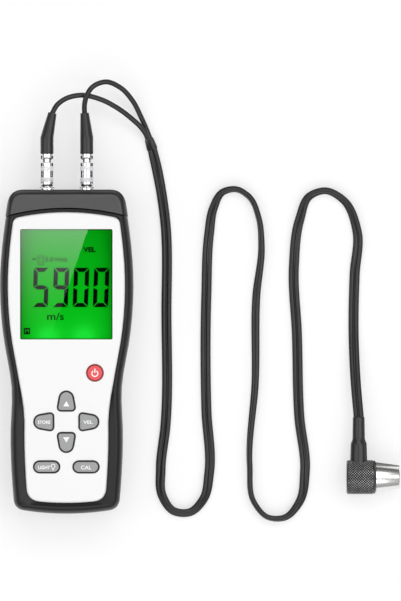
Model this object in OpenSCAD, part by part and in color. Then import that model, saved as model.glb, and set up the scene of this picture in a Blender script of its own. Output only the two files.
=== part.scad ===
// Handheld ultrasonic thickness gauge: a moulded case with a screen, seven keys and four cells,
// two coaxial plugs, a twin cord and an angled probe. It lies on its back: X to the right,
// Y towards the plugs, Z out of the screen. The origin is in the middle of the back face.

/* [Case] */
// Length of the case, heel to top
case_length = 175; // [170:0.5:190]
// Height of the frame's crest above the back face
case_depth = 31; // [29.5:0.5:36]
// Depth of the rear cover, up to the parting line
rear_depth = 15.2; // [15:0.1:17]
// Width near the top end
head_width = 63.4; // [60:0.2:67]
// Width at the screen, the widest place
screen_width = 72; // [69:0.2:78]
// Width halfway between the screen and the waist
hip_width = 67.6; // [65:0.2:71]
// Width at the waist
waist_width = 59; // [57.5:0.2:63]
// Width at the palm, beside the keys
palm_width = 60.6; // [58:0.2:65]
// Width near the heel
heel_width = 57.2; // [56:0.2:62]
// Distance of the widest place below the top end
screen_station = 51.5; // [48:0.5:56]
// Distance of the waist above the heel
waist_station = 63.5; // [60:0.5:67]
// Distance of the palm above the heel
palm_station = 42.5; // [38:0.5:47]
// Corner radius at the top end
top_corner = 7.5; // [5:0.5:9]
// Corner radius at the heel
heel_corner = 5; // [4:0.5:8]
// Radius of the gently arched heel edge
heel_arch = 150; // [120:5:300]
// Radius of the rounded back edge
back_round = 5; // [4:0.2:6]
// Inward reach of the rounded front edge
front_round = 3.6; // [3:0.1:4]
// Height of the rounded front edge
front_fall = 8; // [6:0.5:9]
// Wall of the covers and the cap
case_wall = 2.4; // [2:0.1:2.6]
// Depth of the V groove along the parting line
parting_groove = 0.35; // [0.2:0.05:0.5]

/* [Top cap] */
// Height of the cap on the centre line
cap_height = 10.4; // [9.5:0.2:13]
// Radius of the arched lower edge of the cap
cap_arch = 125; // [110:5:180]
// Width of the chamfer along the cap's lower front edge
cap_chamfer = 0.5; // [0.2:0.05:0.8]
// Gap between the cap and the covers
cap_gap = 0.25; // [0.1:0.05:0.4]
// How far the cap stands proud of the covers
cap_proud = 0.3; // [0:0.05:0.5]
// Thickness of the end wall that carries the sockets
cap_end_wall = 3; // [2.5:0.1:3.5]
// Length of the tongues that locate the cap in the covers
tongue_length = 5; // [3:0.5:6]

/* [Front panel] */
// Width of the dark frame beside the screen
screen_band = 4.3; // [4.1:0.1:5.5]
// Width of the dark frame beside the keys
palm_band = 7.6; // [6.5:0.1:8.5]
// Width of the frame strip between the cap and the panel
strip_width = 1.8; // [1.2:0.1:3]
// Width of the frame below the panel
heel_band = 6; // [5:0.1:8]
// Thickness of the panel
panel_thickness = 1.6; // [1.2:0.1:2]
// How far the panel's face stands above the frame's crest
panel_rise = 0.2; // [0:0.1:0.6]
// Width of the chamfer round the panel
panel_chamfer = 0.9; // [0.5:0.1:1.2]
// Upper corner radius of the panel
panel_top_corner = 3; // [2.4:0.2:5]
// Lower corner radius of the panel
panel_heel_corner = 6.4; // [5:0.2:8]
// Gap between the panel and the frame
panel_gap = 0.2; // [0.1:0.05:0.3]

/* [Screen] */
// Width of the window opening
window_width = 49.8; // [46:0.2:51]
// Height of the window opening
window_height = 59.5; // [55:0.5:60.5]
// Distance from the top end of the case to the window opening
window_from_top = 21.4; // [21:0.2:23]
// Corner radius of the window opening
window_corner = 0.8; // [0.5:0.1:2]
// Thickness of the clear window
lens_thickness = 1; // [0.8:0.1:1.2]
// Overlap of the window and glass behind the panel
lens_margin = 1.1; // [0.8:0.1:1.3]
// Thickness of the display glass
glass_thickness = 2.2; // [1.8:0.1:2.4]
// Height of the frame that holds the glass off the board
lcd_frame_height = 3.2; // [2.8:0.1:3.4]
// Wall of that frame
lcd_frame_wall = 1.4; // [1:0.1:1.8]
// Depth of the contact strip along the upper edge of the glass
contact_strip_depth = 1.8; // [1.4:0.1:2.4]
// Thickness of the light guide
guide_thickness = 2.4; // [1.8:0.1:2.6]
// Number of lamps along the lower edge of the guide
lamp_count = 2; // [2:1:4]

/* [Keys] */
// Width of an arrow key
arrow_width = 9.8; // [9:0.1:10.4]
// Length of an arrow key, base to tip
arrow_length = 10.9; // [10:0.1:11.5]
// Corner radius at the base of an arrow key
arrow_corner = 2; // [1.5:0.1:2.5]
// Radius of the tip of an arrow key
arrow_tip = 4; // [3.4:0.1:4.4]
// How far the arrow keys' centre lies below the middle between window and panel edge
pad_shift = 0.3; // [-1:0.1:1]
// Distance from that centre to the base of the upper and lower keys
pad_rise = 5.7; // [5.4:0.1:6.2]
// Distance from that centre to the base of the side keys
pad_reach = 6.7; // [6.4:0.1:7]
// Diameter of the power key
power_diameter = 9; // [8:0.1:10]
// Distance of the power key to the right of the centre line
power_x = 15.4; // [14:0.1:16]
// Distance of the power key below the window opening
power_below_window = 18; // [14:0.1:19]
// Length of the two long keys
long_key_length = 14.3; // [12:0.1:15]
// Width of the two long keys
long_key_width = 6.6; // [6:0.1:7.2]
// Distance of the long keys from the centre line
long_key_x = 10.6; // [10:0.1:11.2]
// Distance of the long keys below the arrow keys' centre
long_key_below_pad = 24.3; // [23.5:0.1:26]
// How far the keys stand above the panel
key_rise = 1; // [0.9:0.1:1.4]
// Travel of a key
key_travel = 0.8; // [0.5:0.1:0.9]
// Width of the bevel on top of a key
key_bevel = 0.8; // [0.5:0.1:1]
// Gap round a key in the panel
key_gap = 0.3; // [0.25:0.05:0.4]
// Flange that keeps a key behind the panel
key_flange = 0.9; // [0.7:0.1:1]
// Thickness of that flange
flange_thickness = 1; // [0.8:0.1:1.2]

/* [Board] */
// Thickness of the plate behind the panel
deck_thickness = 2.2; // [2:0.1:2.4]
// Thickness of the circuit board
board_thickness = 1.6; // [1.2:0.1:1.8]
// Gap between the board and the case wall
board_gap = 1.3; // [0.8:0.1:1.6]
// Radius of the posts that carry the board
post_radius = 2.3; // [2:0.1:2.4]
// How far the upper board posts lie below the middle between window and case-screw boss
post_shift = 0.5; // [0:0.1:1.5]
// Distance of the lower posts above the heel
post_from_heel = 13.5; // [12:0.5:16]
// Radius of a screw's shank
screw_radius = 1; // [0.8:0.05:1.1]
// Radius of a screw's head
head_radius = 1.9; // [1.7:0.1:2]
// Height of a screw's head
head_height = 1.4; // [1:0.1:1.6]
// Clearance round a screw in its hole
screw_gap = 0.05; // [0.02:0.01:0.1]
// Radius of the bosses of the case screws
boss_radius = 2.6; // [2.5:0.05:2.8]
// Distance of the lower case screws' bosses from the bay
boss_above_bay = 8; // [6:0.5:9]
// Depth of the holes over the heads of the case screws
head_recess = 6; // [4:0.5:8]
// Height of a key's switch
switch_height = 3.6; // [3:0.1:3.8]
// Side of a key's switch
switch_side = 5; // [4:0.1:5.4]

/* [Battery bay] */
// Diameter of a cell
cell_diameter = 10.3; // [10:0.1:10.5]
// Length of a cell without its button
cell_length = 43.5; // [43:0.1:44]
// Spacing of the cells
cell_pitch = 10.7; // [10.6:0.05:10.8]
// Length of a contact spring
spring_length = 4.5; // [3.5:0.1:5]
// Radius of a contact spring at its plate
spring_radius = 3.6; // [3:0.1:4]
// Radius of a contact spring at its cell
spring_tip = 2.2; // [1.8:0.1:2.6]
// Radius of the spring's wire
spring_wire = 0.35; // [0.25:0.05:0.4]
// Thickness of a contact plate
contact_thickness = 0.4; // [0.3:0.05:0.6]
// Wall of the bay
bay_wall = 2.2; // [2:0.1:2.3]
// Distance of the bay from the heel
bay_from_heel = 8.5; // [8:0.1:9]
// Thickness of the door
door_thickness = 2; // [1.8:0.1:2.2]
// How far the door lies below the back face
door_recess = 0.3; // [0.2:0.05:0.4]
// Width of the rails along the door's sides
door_rail = 1.1; // [0.8:0.1:1.2]
// Thickness of those rails
rail_thickness = 1.1; // [0.8:0.1:1.2]
// Gap round the sliding door
slide_gap = 0.2; // [0.15:0.05:0.3]
// Number of grip grooves on the door
grip_count = 6; // [4:1:8]

/* [Plugs] */
// Distance between the two plugs
plug_pitch = 21.5; // [20:0.5:26]
// Height of the plugs' axes above the back face
plug_height = 16; // [15:0.5:18]
// Diameter of a socket's threaded barrel
socket_diameter = 6.2; // [6:0.1:6.4]
// Diameter of the nut round a socket
nut_diameter = 7.9; // [7.4:0.1:9]
// Thickness of that nut
nut_thickness = 1.4; // [1.2:0.1:2]
// Diameter of the plug's nose
nose_diameter = 4.2; // [4:0.1:4.4]
// Diameter of the plug's inner barrel
barrel_diameter = 4.1; // [3.8:0.1:4.2]
// Diameter of the release sleeve
sleeve_diameter = 6.8; // [6.6:0.1:7.2]
// Length of the release sleeve
sleeve_length = 13.2; // [11:0.2:15]
// Depth of the two bands round the sleeve
sleeve_band = 0.25; // [0.1:0.05:0.3]
// Travel of the release sleeve
sleeve_travel = 1.2; // [0.8:0.1:1.5]
// Diameter of the collet nut
collet_diameter = 6.6; // [6:0.1:7]
// Length of the collet nut
collet_length = 3.1; // [2.5:0.1:4]
// Running gap inside the release sleeve
sleeve_gap = 0.3; // [0.3:0.02:0.4]

/* [Cord] */
// Diameter of one strand
strand = 2.8; // [2.4:0.1:3]
// Wall of the sleeve where the two leads join
splitter_wall = 0.4; // [0.3:0.05:0.6]
// Diameter of a boot at the plug
boot_diameter = 7.1; // [6.8:0.1:7.6]
// Diameter of a boot at its tip
boot_tip = 4.6; // [4.2:0.1:5.2]
// Straight share of a boot, before it narrows towards its lead
boot_straight = 0.4; // [0.3:0.05:0.5]

/* [Probe] */
// Diameter of the probe's grip
grip_diameter = 18.5; // [17:0.1:20]
// Length of the grip
grip_length = 15.7; // [15:0.1:18]
// Chamfer at the grip's ends
grip_chamfer = 0.7; // [0.4:0.1:1]
// Length of the steel nose
nose_length = 13.1; // [11:0.1:15]
// Diameter of the nose at the grip
nose_base = 16.2; // [15.6:0.1:16.6]
// Diameter of the nose at its contact face
nose_tip = 12.8; // [12:0.1:13.6]
// Diameter of the delay lines
delay_diameter = 10; // [9:0.1:10.6]
// Thickness of the barrier between the delay lines
barrier_thickness = 0.7; // [0.4:0.1:1]
// Depth of the nose's spigot in the grip
spigot_depth = 5; // [4:0.1:6]
// Diameter of the probe boot where it enters the grip
probe_boot_base = 9.2; // [8.6:0.1:9.6]
// Diameter of the probe boot at its tip
probe_boot_tip = 6.4; // [6.2:0.1:6.8]
// Length of the wide part of the probe boot
probe_boot_wide = 9; // [8:0.1:10]
// Length of the whole probe boot above the grip
probe_boot_length = 23.5; // [22:0.1:25]

/* [Hidden] */
$fn = 64;

// A little extra so that a cut goes right through.
over = 1;

// Ends of the case, and the stations of its outline as [y, half width, slope].
top_y = case_length / 2;
heel_y = -case_length / 2;
end_station = 7.5;
screen_y = top_y - screen_station;
waist_y = heel_y + waist_station;
hip_y = (screen_y + waist_y) / 2;
hip_slope = 1.4 * (screen_width - waist_width) / 2 / (screen_y - waist_y);
head_slope = -0.16;
heel_slope = 0.09;
stations = [
    [heel_y + end_station, heel_width / 2, heel_slope],
    [heel_y + palm_station, palm_width / 2, 0],
    [waist_y, waist_width / 2, 0],
    [hip_y, hip_width / 2, hip_slope],
    [screen_y, screen_width / 2, 0],
    [top_y - end_station, head_width / 2, head_slope]
];
last_station = len(stations) - 1;

// Joint between the covers and the cap, on the centre line.
joint_y = top_y - cap_height;
flat_edge = 1000000;
sharp = 0.3;

// Levels above the back face.
panel_face = case_depth + panel_rise;
panel_back = panel_face - panel_thickness;
deck_back = panel_back - deck_thickness;
glass_back = deck_back - glass_thickness;
board_top = glass_back - lcd_frame_height;
board_back = board_top - board_thickness;
key_top = panel_face + key_rise;
flange_top = panel_back - 0.1;
switch_top = board_top + switch_height;
stem_back = switch_top + key_travel + 0.2;

// The window, glass and keys in plan.
window_y = top_y - window_from_top - window_height / 2;
lens_size = [window_width + 2 * lens_margin, window_height + 2 * lens_margin];
fit_gap = 0.15;
window_low = window_y - window_height / 2;
panel_low = heel_y + heel_band;
pad_y = (window_low + panel_low) / 2 - pad_shift;
power_at = [power_x, window_low - power_below_window];
long_key_y = pad_y - long_key_below_pad;
key_places = [
    power_at, [0, pad_y + pad_rise + arrow_length / 2], [0, pad_y - pad_rise - arrow_length / 2],
    [-pad_reach - arrow_length / 2, pad_y], [pad_reach + arrow_length / 2, pad_y],
    [-long_key_x, long_key_y], [long_key_x, long_key_y]
];

// Battery bay and door.
button_length = 1;
door_top_z = door_recess + door_thickness;
channel_top = door_top_z + slide_gap;
cell_z = channel_top + 0.2 + cell_diameter / 2;
bay_ceiling = cell_z + cell_diameter / 2 + 0.3;
bay_half = 2 * cell_pitch + 0.3;
bay_y0 = heel_y + bay_from_heel;
bay_y1 = bay_y0 + 2 * contact_thickness + spring_length + cell_length + button_length;
door_half = bay_half + 0.5;
door_y = bay_y1 + 1.5;
rail_z = door_top_z - rail_thickness;
contact_side = cell_diameter - 0.9;
pin_radius = 0.5;
pin_y = bay_y0 + contact_thickness + 0.3;

// Screws: case screws by the cap and above the bay, board posts along the walls.
upper_screw = [half_width(joint_y) - 9.5, joint_y - cap_sag(half_width(joint_y) - 9.5) - boss_radius - 0.8];
lower_screw_y = bay_y1 + bay_wall + boss_radius + boss_above_bay;
lower_screw = [half_width(lower_screw_y) - case_wall - boss_radius - 0.3, lower_screw_y];
case_screw_places = [upper_screw, lower_screw];
post_reach = case_wall + board_gap + post_radius + 0.3;
upper_post_y = (window_low + lower_screw_y) / 2 - post_shift;
lower_post_y = heel_y + post_from_heel;
post_places = [
    [half_width(upper_post_y) - post_reach, upper_post_y],
    [half_width(lower_post_y) - post_reach, lower_post_y]
];
thread_depth = 6;

// Stations along a plug, outwards from the end wall of the cap.
socket_face = top_y + nut_thickness + 0.1;
sleeve_y = socket_face + 0.2;
collet_y = sleeve_y + sleeve_length + sleeve_travel + 0.3;
boot_y = collet_y + collet_length;
socket_back = top_y - cap_end_wall - 6;
solder_y = socket_back - 3;
nose_y = top_y - 5;
lead_radius = 0.8;

// Probe: the grip lies on the table with its axis along X.
grip_x = 151.4;
grip_y = -68.1;
grip_z = grip_diameter / 2;
nose_x = grip_x + grip_length;
tip_x = nose_x + nose_length;
probe_boot_x = 158;
seat_y = grip_y + grip_diameter / 2 - 1.6;
probe_boot_y = grip_y + grip_diameter / 2 + probe_boot_length;
spigot_diameter = nose_base - 2.6;
crystal_thickness = 0.8;
backing = 3;

// Routes of the cords as [x, y, z, roll]: roll is the tilt of the twin strands, in degrees.
low = strand / 2;
left_lead_route = [
    [-7.8, 129, 16, 0], [-5.6, 133, 15.6, 0], [-1.4, 136.4, 14.8, 0], [7, 138.7, 13.6, 0],
    [18.5, 136.4, 12, 0], [27.4, 131.8, 10.2, 0], [35.4, 125.8, 7.6, 0], [40.6, 120.8, 5.4, 0],
    [43.2, 116.6, 4.1, 0], [43.6, 115.4, 4, 0]
];
right_lead_route = [
    [9.6, 129, 16, 0], [9.5, 132.6, 16.8, 0], [10.3, 137, 17.6, 0], [13.4, 142.6, 17.4, 0],
    [21, 145.9, 15.2, 0], [29, 142.8, 11.8, 0], [35.4, 136, 8, 0], [40, 127.2, 4, 0],
    [43.4, 119.4, 1.8, 0], [44.8, 115.8, 1.4, 0]
];
twin_route = [
    [46.2, 109.5, 2.2, 30], [48.9, 97.8, 1.5, 0], [53, 72, 1.4, 0], [53.8, 20, 1.4, 0],
    [53.3, -40, 1.4, 0], [50.7, -64, 1.9, 20], [51.5, -78.2, 2.3, 40], [57.6, -86.6, 2.5, 52],
    [66.6, -87.3, 2.5, 52], [74, -80, 2.3, 40], [77, -66, 1.9, 20], [75.5, -32, 1.4, 0],
    [75.5, 32, 1.4, 0], [77, 64, 1.9, 20], [79.4, 78, 2.3, 42], [84, 86.2, 2.7, 68],
    [91.5, 88, 2.8, 80], [98.8, 83.8, 2.8, 82], [104, 72, 2.8, 82], [105.4, 58, 2.7, 74],
    [102.6, 30, 2.5, 54], [102, -16, 2.6, 62], [99, -62, 2.8, 82], [101.3, -81.8, 2.8, 84],
    [108.6, -89.9, 2.8, 84], [118, -90.2, 2.7, 74], [126.2, -81.3, 2.4, 48], [129, -65, 1.8, 18],
    [126, -36, 1.4, 0], [124.6, 10, 1.4, 0], [123, 46, 1.5, 4], [126.2, 71.8, 2.1, 30],
    [131.4, 84.2, 2.6, 58], [140, 87.2, 2.7, 70], [150, 82, 2.6, 60], [157.3, 65, 2.1, 34],
    [156, 42, 1.5, 4], [155.4, 10, 2, 0], [156.4, -16, 6.6, 0], [158, -35.35, 9.2, 0]
];
splitter_top = [44.2, 115.6, 2.7, 64];
splitter_axis = [0.316, -0.949, 0];
bend_step = 20;

// Half width of the case at the height y: cubic curves between the stations.
function cubic(a, b, y) =
    let (d = b[0] - a[0], t = (y - a[0]) / d)
    a[1] * (2 * t^3 - 3 * t^2 + 1) + b[1] * (3 * t^2 - 2 * t^3)
    + d * (a[2] * (t^3 - 2 * t^2 + t) + b[2] * (t^3 - t^2));
function straight(a, y) = a[1] + a[2] * (y - a[0]);
function span_at(y) = max([for (k = [0:last_station - 1]) if (y >= stations[k][0]) k]);
function half_width(y) =
    y <= stations[0][0] ? straight(stations[0], y)
    : y >= stations[last_station][0] ? straight(stations[last_station], y)
    : cubic(stations[span_at(y)], stations[span_at(y) + 1], y);
function cap_sag(x) = x * x / (2 * cap_arch);

// The frame is wider beside the keys than beside the screen.
function ease(t) = let (c = min(max(t, 0), 1)) 3 * c^2 - 2 * c^3;
band_start = waist_y + 12;
band_end = waist_y - 18;
function extra_band(y) = (palm_band - screen_band) * ease((band_start - y) / (band_start - band_end));

// Points of a quarter round from a to b, which leaves a and reaches b towards the corner c.
function corner_curve(a, c, b, steps) =
    [for (k = [0:steps]) let (t = k / steps) a * (1 - t)^2 + c * 2 * t * (1 - t) + b * t^2];

// Outline of the case moved inwards: an end is [y, radius of its arch, corner radius].
function side_x(y, inset, banded) = half_width(y) - inset - (banded ? extra_band(y) : 0);
function end_corner(end, side, inset, banded, flip) =
    let (
        reach = side_x(end[0], inset, banded),
        edge_x = reach - end[2],
        edge_y = end[0] - flip * edge_x^2 / (2 * end[1]),
        edge_slope = -flip * edge_x / end[1],
        side_y = end[0] - flip * (reach^2 / (2 * end[1]) + end[2]),
        side_slope = side_x(side_y + 0.5, inset, banded) - side_x(side_y - 0.5, inset, banded),
        flank_x = side_x(side_y, inset, banded),
        meet_y = (edge_y + edge_slope * (flank_x - side_slope * side_y - edge_x)) / (1 - edge_slope * side_slope),
        meet_x = flank_x + side_slope * (meet_y - side_y)
    )
    [[edge_x, edge_y], [meet_x, meet_y], [flank_x, side_y]];
corner_steps = 8;
sharp_steps = 4;
edge_steps = 8;
flank_steps = 20;
edge_parts = [for (k = [1:edge_steps - 1]) k / edge_steps];
edge_parts_back = [for (k = [edge_steps - 1:-1:1]) k / edge_steps];
function steps_of(end) = end[2] <= sharp ? sharp_steps : corner_steps;
function edge_points(end, a, flip, parts) =
    [for (p = parts) [a[0] * p, end[0] - flip * (a[0] * p)^2 / (2 * end[1])]];
function half_outline(inset, top, bottom, banded) =
    let (
        low_corner = end_corner(bottom, -1, inset, banded, -1),
        high_corner = end_corner(top, 1, inset, banded, 1),
        y0 = low_corner[2][1],
        y1 = high_corner[2][1]
    )
    concat(
        edge_points(bottom, low_corner[0], -1, edge_parts),
        corner_curve(low_corner[0], low_corner[1], low_corner[2], steps_of(bottom)),
        [for (k = [1:flank_steps - 1]) let (y = y0 + (y1 - y0) * k / flank_steps) [side_x(y, inset, banded), y]],
        corner_curve(high_corner[2], high_corner[1], high_corner[0], steps_of(top)),
        edge_points(top, high_corner[0], 1, edge_parts_back)
    );
function outline(inset, top, bottom, banded = false) =
    let (half = half_outline(inset, top, bottom, banded), n = len(half))
    concat([[0, bottom[0]]], half, [[0, top[0]]], [for (k = [n - 1:-1:0]) [-half[k][0], half[k][1]]]);

// Ends of the covers, of the cap and of the panel.
function heel_end(inset) = [heel_y + inset, heel_arch, max(heel_corner - inset, 0.8)];
function top_end(inset) = [top_y - inset, flat_edge, max(top_corner - inset, 0.8)];
cover_end = [joint_y - cap_gap, cap_arch, sharp];
function cap_end(lift) = [joint_y + lift, -cap_arch, sharp];
function cover_outline(inset) = outline(inset, cover_end, heel_end(inset));
function cap_outline(inset, lift) = outline(inset - cap_proud, top_end(inset), cap_end(lift));
function panel_outline(inset) =
    outline(
        screen_band + inset,
        [joint_y - strip_width - inset, cap_arch, panel_top_corner - inset],
        [heel_y + heel_band + inset, heel_arch, panel_heel_corner - inset],
        true
    );

// Rings of a shell as [outline inset, z]: rounded back edge, and rounded front edge.
back_rings = [for (a = [0:18:90]) [back_round * (1 - sin(a)), back_round * (1 - cos(a))]];
front_rings = [for (a = [0:15:90]) [front_round * (1 - cos(a)), case_depth - front_fall * (1 - sin(a))]];

// A closed skin over rings of points that have the same count.
module skin(rings) {
    n = len(rings[0]);
    last = len(rings) - 1;
    points = [for (r = rings) each r];
    sides = [
        for (k = [0:last - 1]) for (i = [0:n - 1])
            let (j = (i + 1) % n, a = k * n, b = a + n)
            each [[a + i, b + i, b + j], [a + i, b + j, a + j]]
    ];
    ends = [[for (i = [0:n - 1]) i], [for (i = [n - 1:-1:0]) last * n + i]];
    polyhedron(points, concat(sides, ends));
}
function level(points, z) = [for (p = points) [p[0], p[1], z]];

// A smooth curve through a route's points, with one more point inside each short span.
function place(p) = [p[0], p[1], p[2]];
function reach(p, q) = norm(place(q) - place(p));
function heading(p, i) =
    i == 0 ? (p[1] - p[0]) / reach(p[0], p[1])
    : i == len(p) - 1 ? (p[i] - p[i - 1]) / reach(p[i - 1], p[i])
    : let (a = reach(p[i - 1], p[i]), b = reach(p[i], p[i + 1]))
      ((p[i] - p[i - 1]) * b / a + (p[i + 1] - p[i]) * a / b) / (a + b);
function along(p, i, t) =
    let (d = reach(p[i], p[i + 1]))
    p[i] * (2 * t^3 - 3 * t^2 + 1) + p[i + 1] * (3 * t^2 - 2 * t^3)
    + (heading(p, i) * (t^3 - 2 * t^2 + t) + heading(p, i + 1) * (t^3 - t^2)) * d;
function curve(p, step) =
    concat(
        [for (i = [0:len(p) - 2]) let (n = reach(p[i], p[i + 1]) < step ? 2 : 1)
            each [for (k = [0:n - 1]) along(p, i, k / n)]],
        [p[len(p) - 1]]
    );

// A section swept along a curve; ends may be given the direction in which they face.
function unit(v) = v / norm(v);
function forward(q, i) = unit(place(q[min(i + 1, len(q) - 1)]) - place(q[max(i - 1, 0)]));
function ring(at, facing, roll, section, up) =
    let (
        n = unit(cross(facing, up)),
        v = cross(facing, n),
        a = n * cos(roll) + v * sin(roll),
        b = v * cos(roll) - n * sin(roll)
    )
    [for (s = section) at + a * s[0] + b * s[1]];
module sweep(q, section, start = undef, finish = undef, up = [0, 0, 1]) {
    last = len(q) - 1;
    skin([
        for (i = [0:last])
            let (
                given = i == 0 ? start : i == last ? finish : undef,
                facing = is_undef(given) ? forward(q, i) : unit(given)
            )
            ring(place(q[i]), facing, q[i][3], section, up)
    ]);
}
function round_section(r, sides) = [for (k = [0:sides - 1]) r * [cos(360 * k / sides), sin(360 * k / sides)]];
function twin_section(r, spread) =
    concat(
        [for (a = [-90:45:90]) [spread + r * cos(a), r * sin(a)]],
        [for (a = [90:45:270]) [-spread + r * cos(a), r * sin(a)]]
    );

// Outline of an arrow key with its base centred on the origin, grown by a margin.
function arc(c, r, a0, a1, steps) =
    [for (k = [0:steps]) let (a = a0 + (a1 - a0) * k / steps) c + r * [cos(a), sin(a)]];
function arrow_outline(grow) =
    let (
        base = [arrow_width / 2 - arrow_corner, arrow_corner],
        tip = [0, arrow_length - arrow_tip],
        d = tip - base,
        lean = atan2(d[1], d[0]) - acos((arrow_corner - arrow_tip) / norm(d))
    )
    concat(
        arc(base, arrow_corner + grow, -90, lean, 4),
        arc(tip, arrow_tip + grow, lean, 180 - lean, 8),
        arc([-base[0], base[1]], arrow_corner + grow, 180 - lean, 270, 4)
    );
function turned(points, angle, at) =
    [for (p = points) at + [p[0] * cos(angle) - p[1] * sin(angle), p[0] * sin(angle) + p[1] * cos(angle)]];
function long_outline(grow) =
    let (c = (long_key_length - long_key_width) / 2, r = long_key_width / 2 + grow)
    concat(arc([c, 0], r, -90, 90, 8), arc([-c, 0], r, 90, 270, 8));
function power_outline(grow) = arc([0, 0], power_diameter / 2 + grow, 0, 345, 23);

// The seven keys in plan, in the order of their places.
function key_outline(k, grow) =
    k == 0 ? turned(power_outline(grow), 0, power_at)
    : k == 1 ? turned(arrow_outline(grow), 0, [0, pad_y + pad_rise])
    : k == 2 ? turned(arrow_outline(grow), 180, [0, pad_y - pad_rise])
    : k == 3 ? turned(arrow_outline(grow), 90, [-pad_reach, pad_y])
    : k == 4 ? turned(arrow_outline(grow), -90, [pad_reach, pad_y])
    : turned(long_outline(grow), 0, [k == 5 ? -long_key_x : long_key_x, long_key_y]);
module key_prism(k, grow, z0, z1) {
    translate([0, 0, z0])
        linear_extrude(z1 - z0)
            if (k == 0) translate(power_at) circle(d = power_diameter + 2 * grow);
            else polygon(key_outline(k, grow));
}
module key(k) {
    bevel_z = panel_face + key_rise / 2;
    key_prism(k, 0, stem_back, bevel_z);
    skin([
        level(key_outline(k, 0), bevel_z),
        level(key_outline(k, -key_bevel * 0.6), key_top - key_rise / 8),
        level(key_outline(k, -key_bevel), key_top)
    ]);
    key_prism(k, key_flange, flange_top - flange_thickness, flange_top);
}

module block(x0, x1, y0, y1, z0, z1) {
    translate([x0, y0, z0]) cube([x1 - x0, y1 - y0, z1 - z0]);
}
module rounded_plate(size, corner, z0, z1) {
    translate([0, 0, z0])
        linear_extrude(z1 - z0)
            difference() {
                square(size, center = true);
                for (sx = [-1, 1]) for (sy = [-1, 1])
                    translate([sx * (size[0] / 2 - corner), sy * (size[1] / 2 - corner)])
                        difference() {
                            translate([sx > 0 ? 0 : -corner, sy > 0 ? 0 : -corner]) square(corner);
                            circle(r = corner);
                        }
            }
}
module post(at, r, z0, z1) {
    translate([at[0], at[1], z0]) cylinder(r = r, h = z1 - z0);
}
module each_side(places) {
    for (p = places) for (s = [-1, 1]) translate([s * p[0], p[1], 0]) children();
}
module prism(points, z0, z1) {
    translate([0, 0, z0]) linear_extrude(z1 - z0) polygon(points);
}
// Turns a revolved shape so that its axis runs along Y, or along X.
module along_y(x, z) {
    translate([x, 0, z]) rotate([-90, 0, 0]) rotate_extrude() children();
}
module along_x(y, z) {
    translate([0, y, z]) rotate([0, 90, 0]) rotate_extrude() children();
}

// Case
module rear_shape() {
    skin([
        for (r = back_rings) level(cover_outline(r[0]), r[1]),
        level(cover_outline(0), rear_depth - parting_groove),
        level(cover_outline(parting_groove), rear_depth)
    ]);
}
module door_prism(gap, recess) {
    z_top = recess > 0 ? door_top_z : channel_top;
    y_top = door_y + gap;
    block(-door_half - gap, door_half + gap, heel_y - over, y_top, recess > 0 ? recess : -over, z_top);
    rail = door_half + door_rail + gap;
    block(-rail, rail, heel_y - over, y_top, rail_z - gap, z_top);
}
module rear_cover() {
    color("dimgray")
        difference() {
            union() {
                difference() {
                    rear_shape();
                    prism(outline(case_wall, [joint_y + over, cap_arch, sharp], heel_end(case_wall)),
                        case_wall, rear_depth + over);
                }
                block(-bay_half - bay_wall, bay_half + bay_wall, bay_y0 - bay_wall, bay_y1 + bay_wall,
                    case_wall / 2, bay_ceiling + bay_wall / 2);
                each_side(case_screw_places) post([0, 0], boss_radius, case_wall / 2, rear_depth - fit_gap);
            }
            block(-bay_half, bay_half, bay_y0, bay_y1, channel_top - over, bay_ceiling);
            door_prism(slide_gap, 0);
            for (s = [-1, 1])
                post([s * 1.5 * cell_pitch, pin_y], pin_radius + 0.3, bay_ceiling - over, bay_ceiling + bay_wall);
            each_side(case_screw_places) {
                post([0, 0], head_radius + 0.2, -over, head_recess);
                post([0, 0], screw_radius + 0.2, 0, rear_depth + over);
            }
        }
}
function cap_lift(z) = cap_chamfer * max(0, 1 - (case_depth - z) / 1.2);
module panel_seat(gap) {
    prism(panel_outline(-gap), panel_back, case_depth + over);
}
module front_cover() {
    color([0.2, 0.2, 0.21])
        difference() {
            union() {
                difference() {
                    skin([
                        level(cover_outline(parting_groove), rear_depth),
                        level(cover_outline(0), rear_depth + parting_groove),
                        for (r = front_rings) level(cover_outline(r[0]), r[1])
                    ]);
                    prism(outline(case_wall, [joint_y + over, cap_arch, sharp], heel_end(case_wall)),
                        rear_depth - over, deck_back);
                    panel_seat(panel_gap);
                    skin([
                        level(panel_outline(-panel_gap), case_depth - 1.2),
                        level(outline(front_round + 0.3, [joint_y - strip_width + panel_gap + 0.1, cap_arch, panel_top_corner],
                            [heel_y + front_round + 0.3, heel_arch, heel_corner]), case_depth + 0.01)
                    ]);
                }
                each_side(case_screw_places) post([0, 0], boss_radius, rear_depth, deck_back + 0.5);
                each_side(post_places) post([0, 0], post_radius, board_top, deck_back + 0.5);
            }
            translate([0, window_y, 0]) {
                rounded_plate([window_width + 0.6, window_height + 0.6], window_corner, deck_back - over, panel_back + over);
                rounded_plate(lens_size + 2 * fit_gap * [1, 1], window_corner, panel_back - lens_thickness - 0.1,
                    panel_back + over);
            }
            for (k = [0:6]) key_prism(k, key_flange + key_gap, deck_back - over, panel_back + over);
            each_side(case_screw_places)
                post([0, 0], screw_radius + screw_gap, rear_depth - over, rear_depth + thread_depth + 1);
            each_side(post_places)
                post([0, 0], screw_radius + screw_gap, board_top - over, board_top + thread_depth - 1);
        }
}
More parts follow.
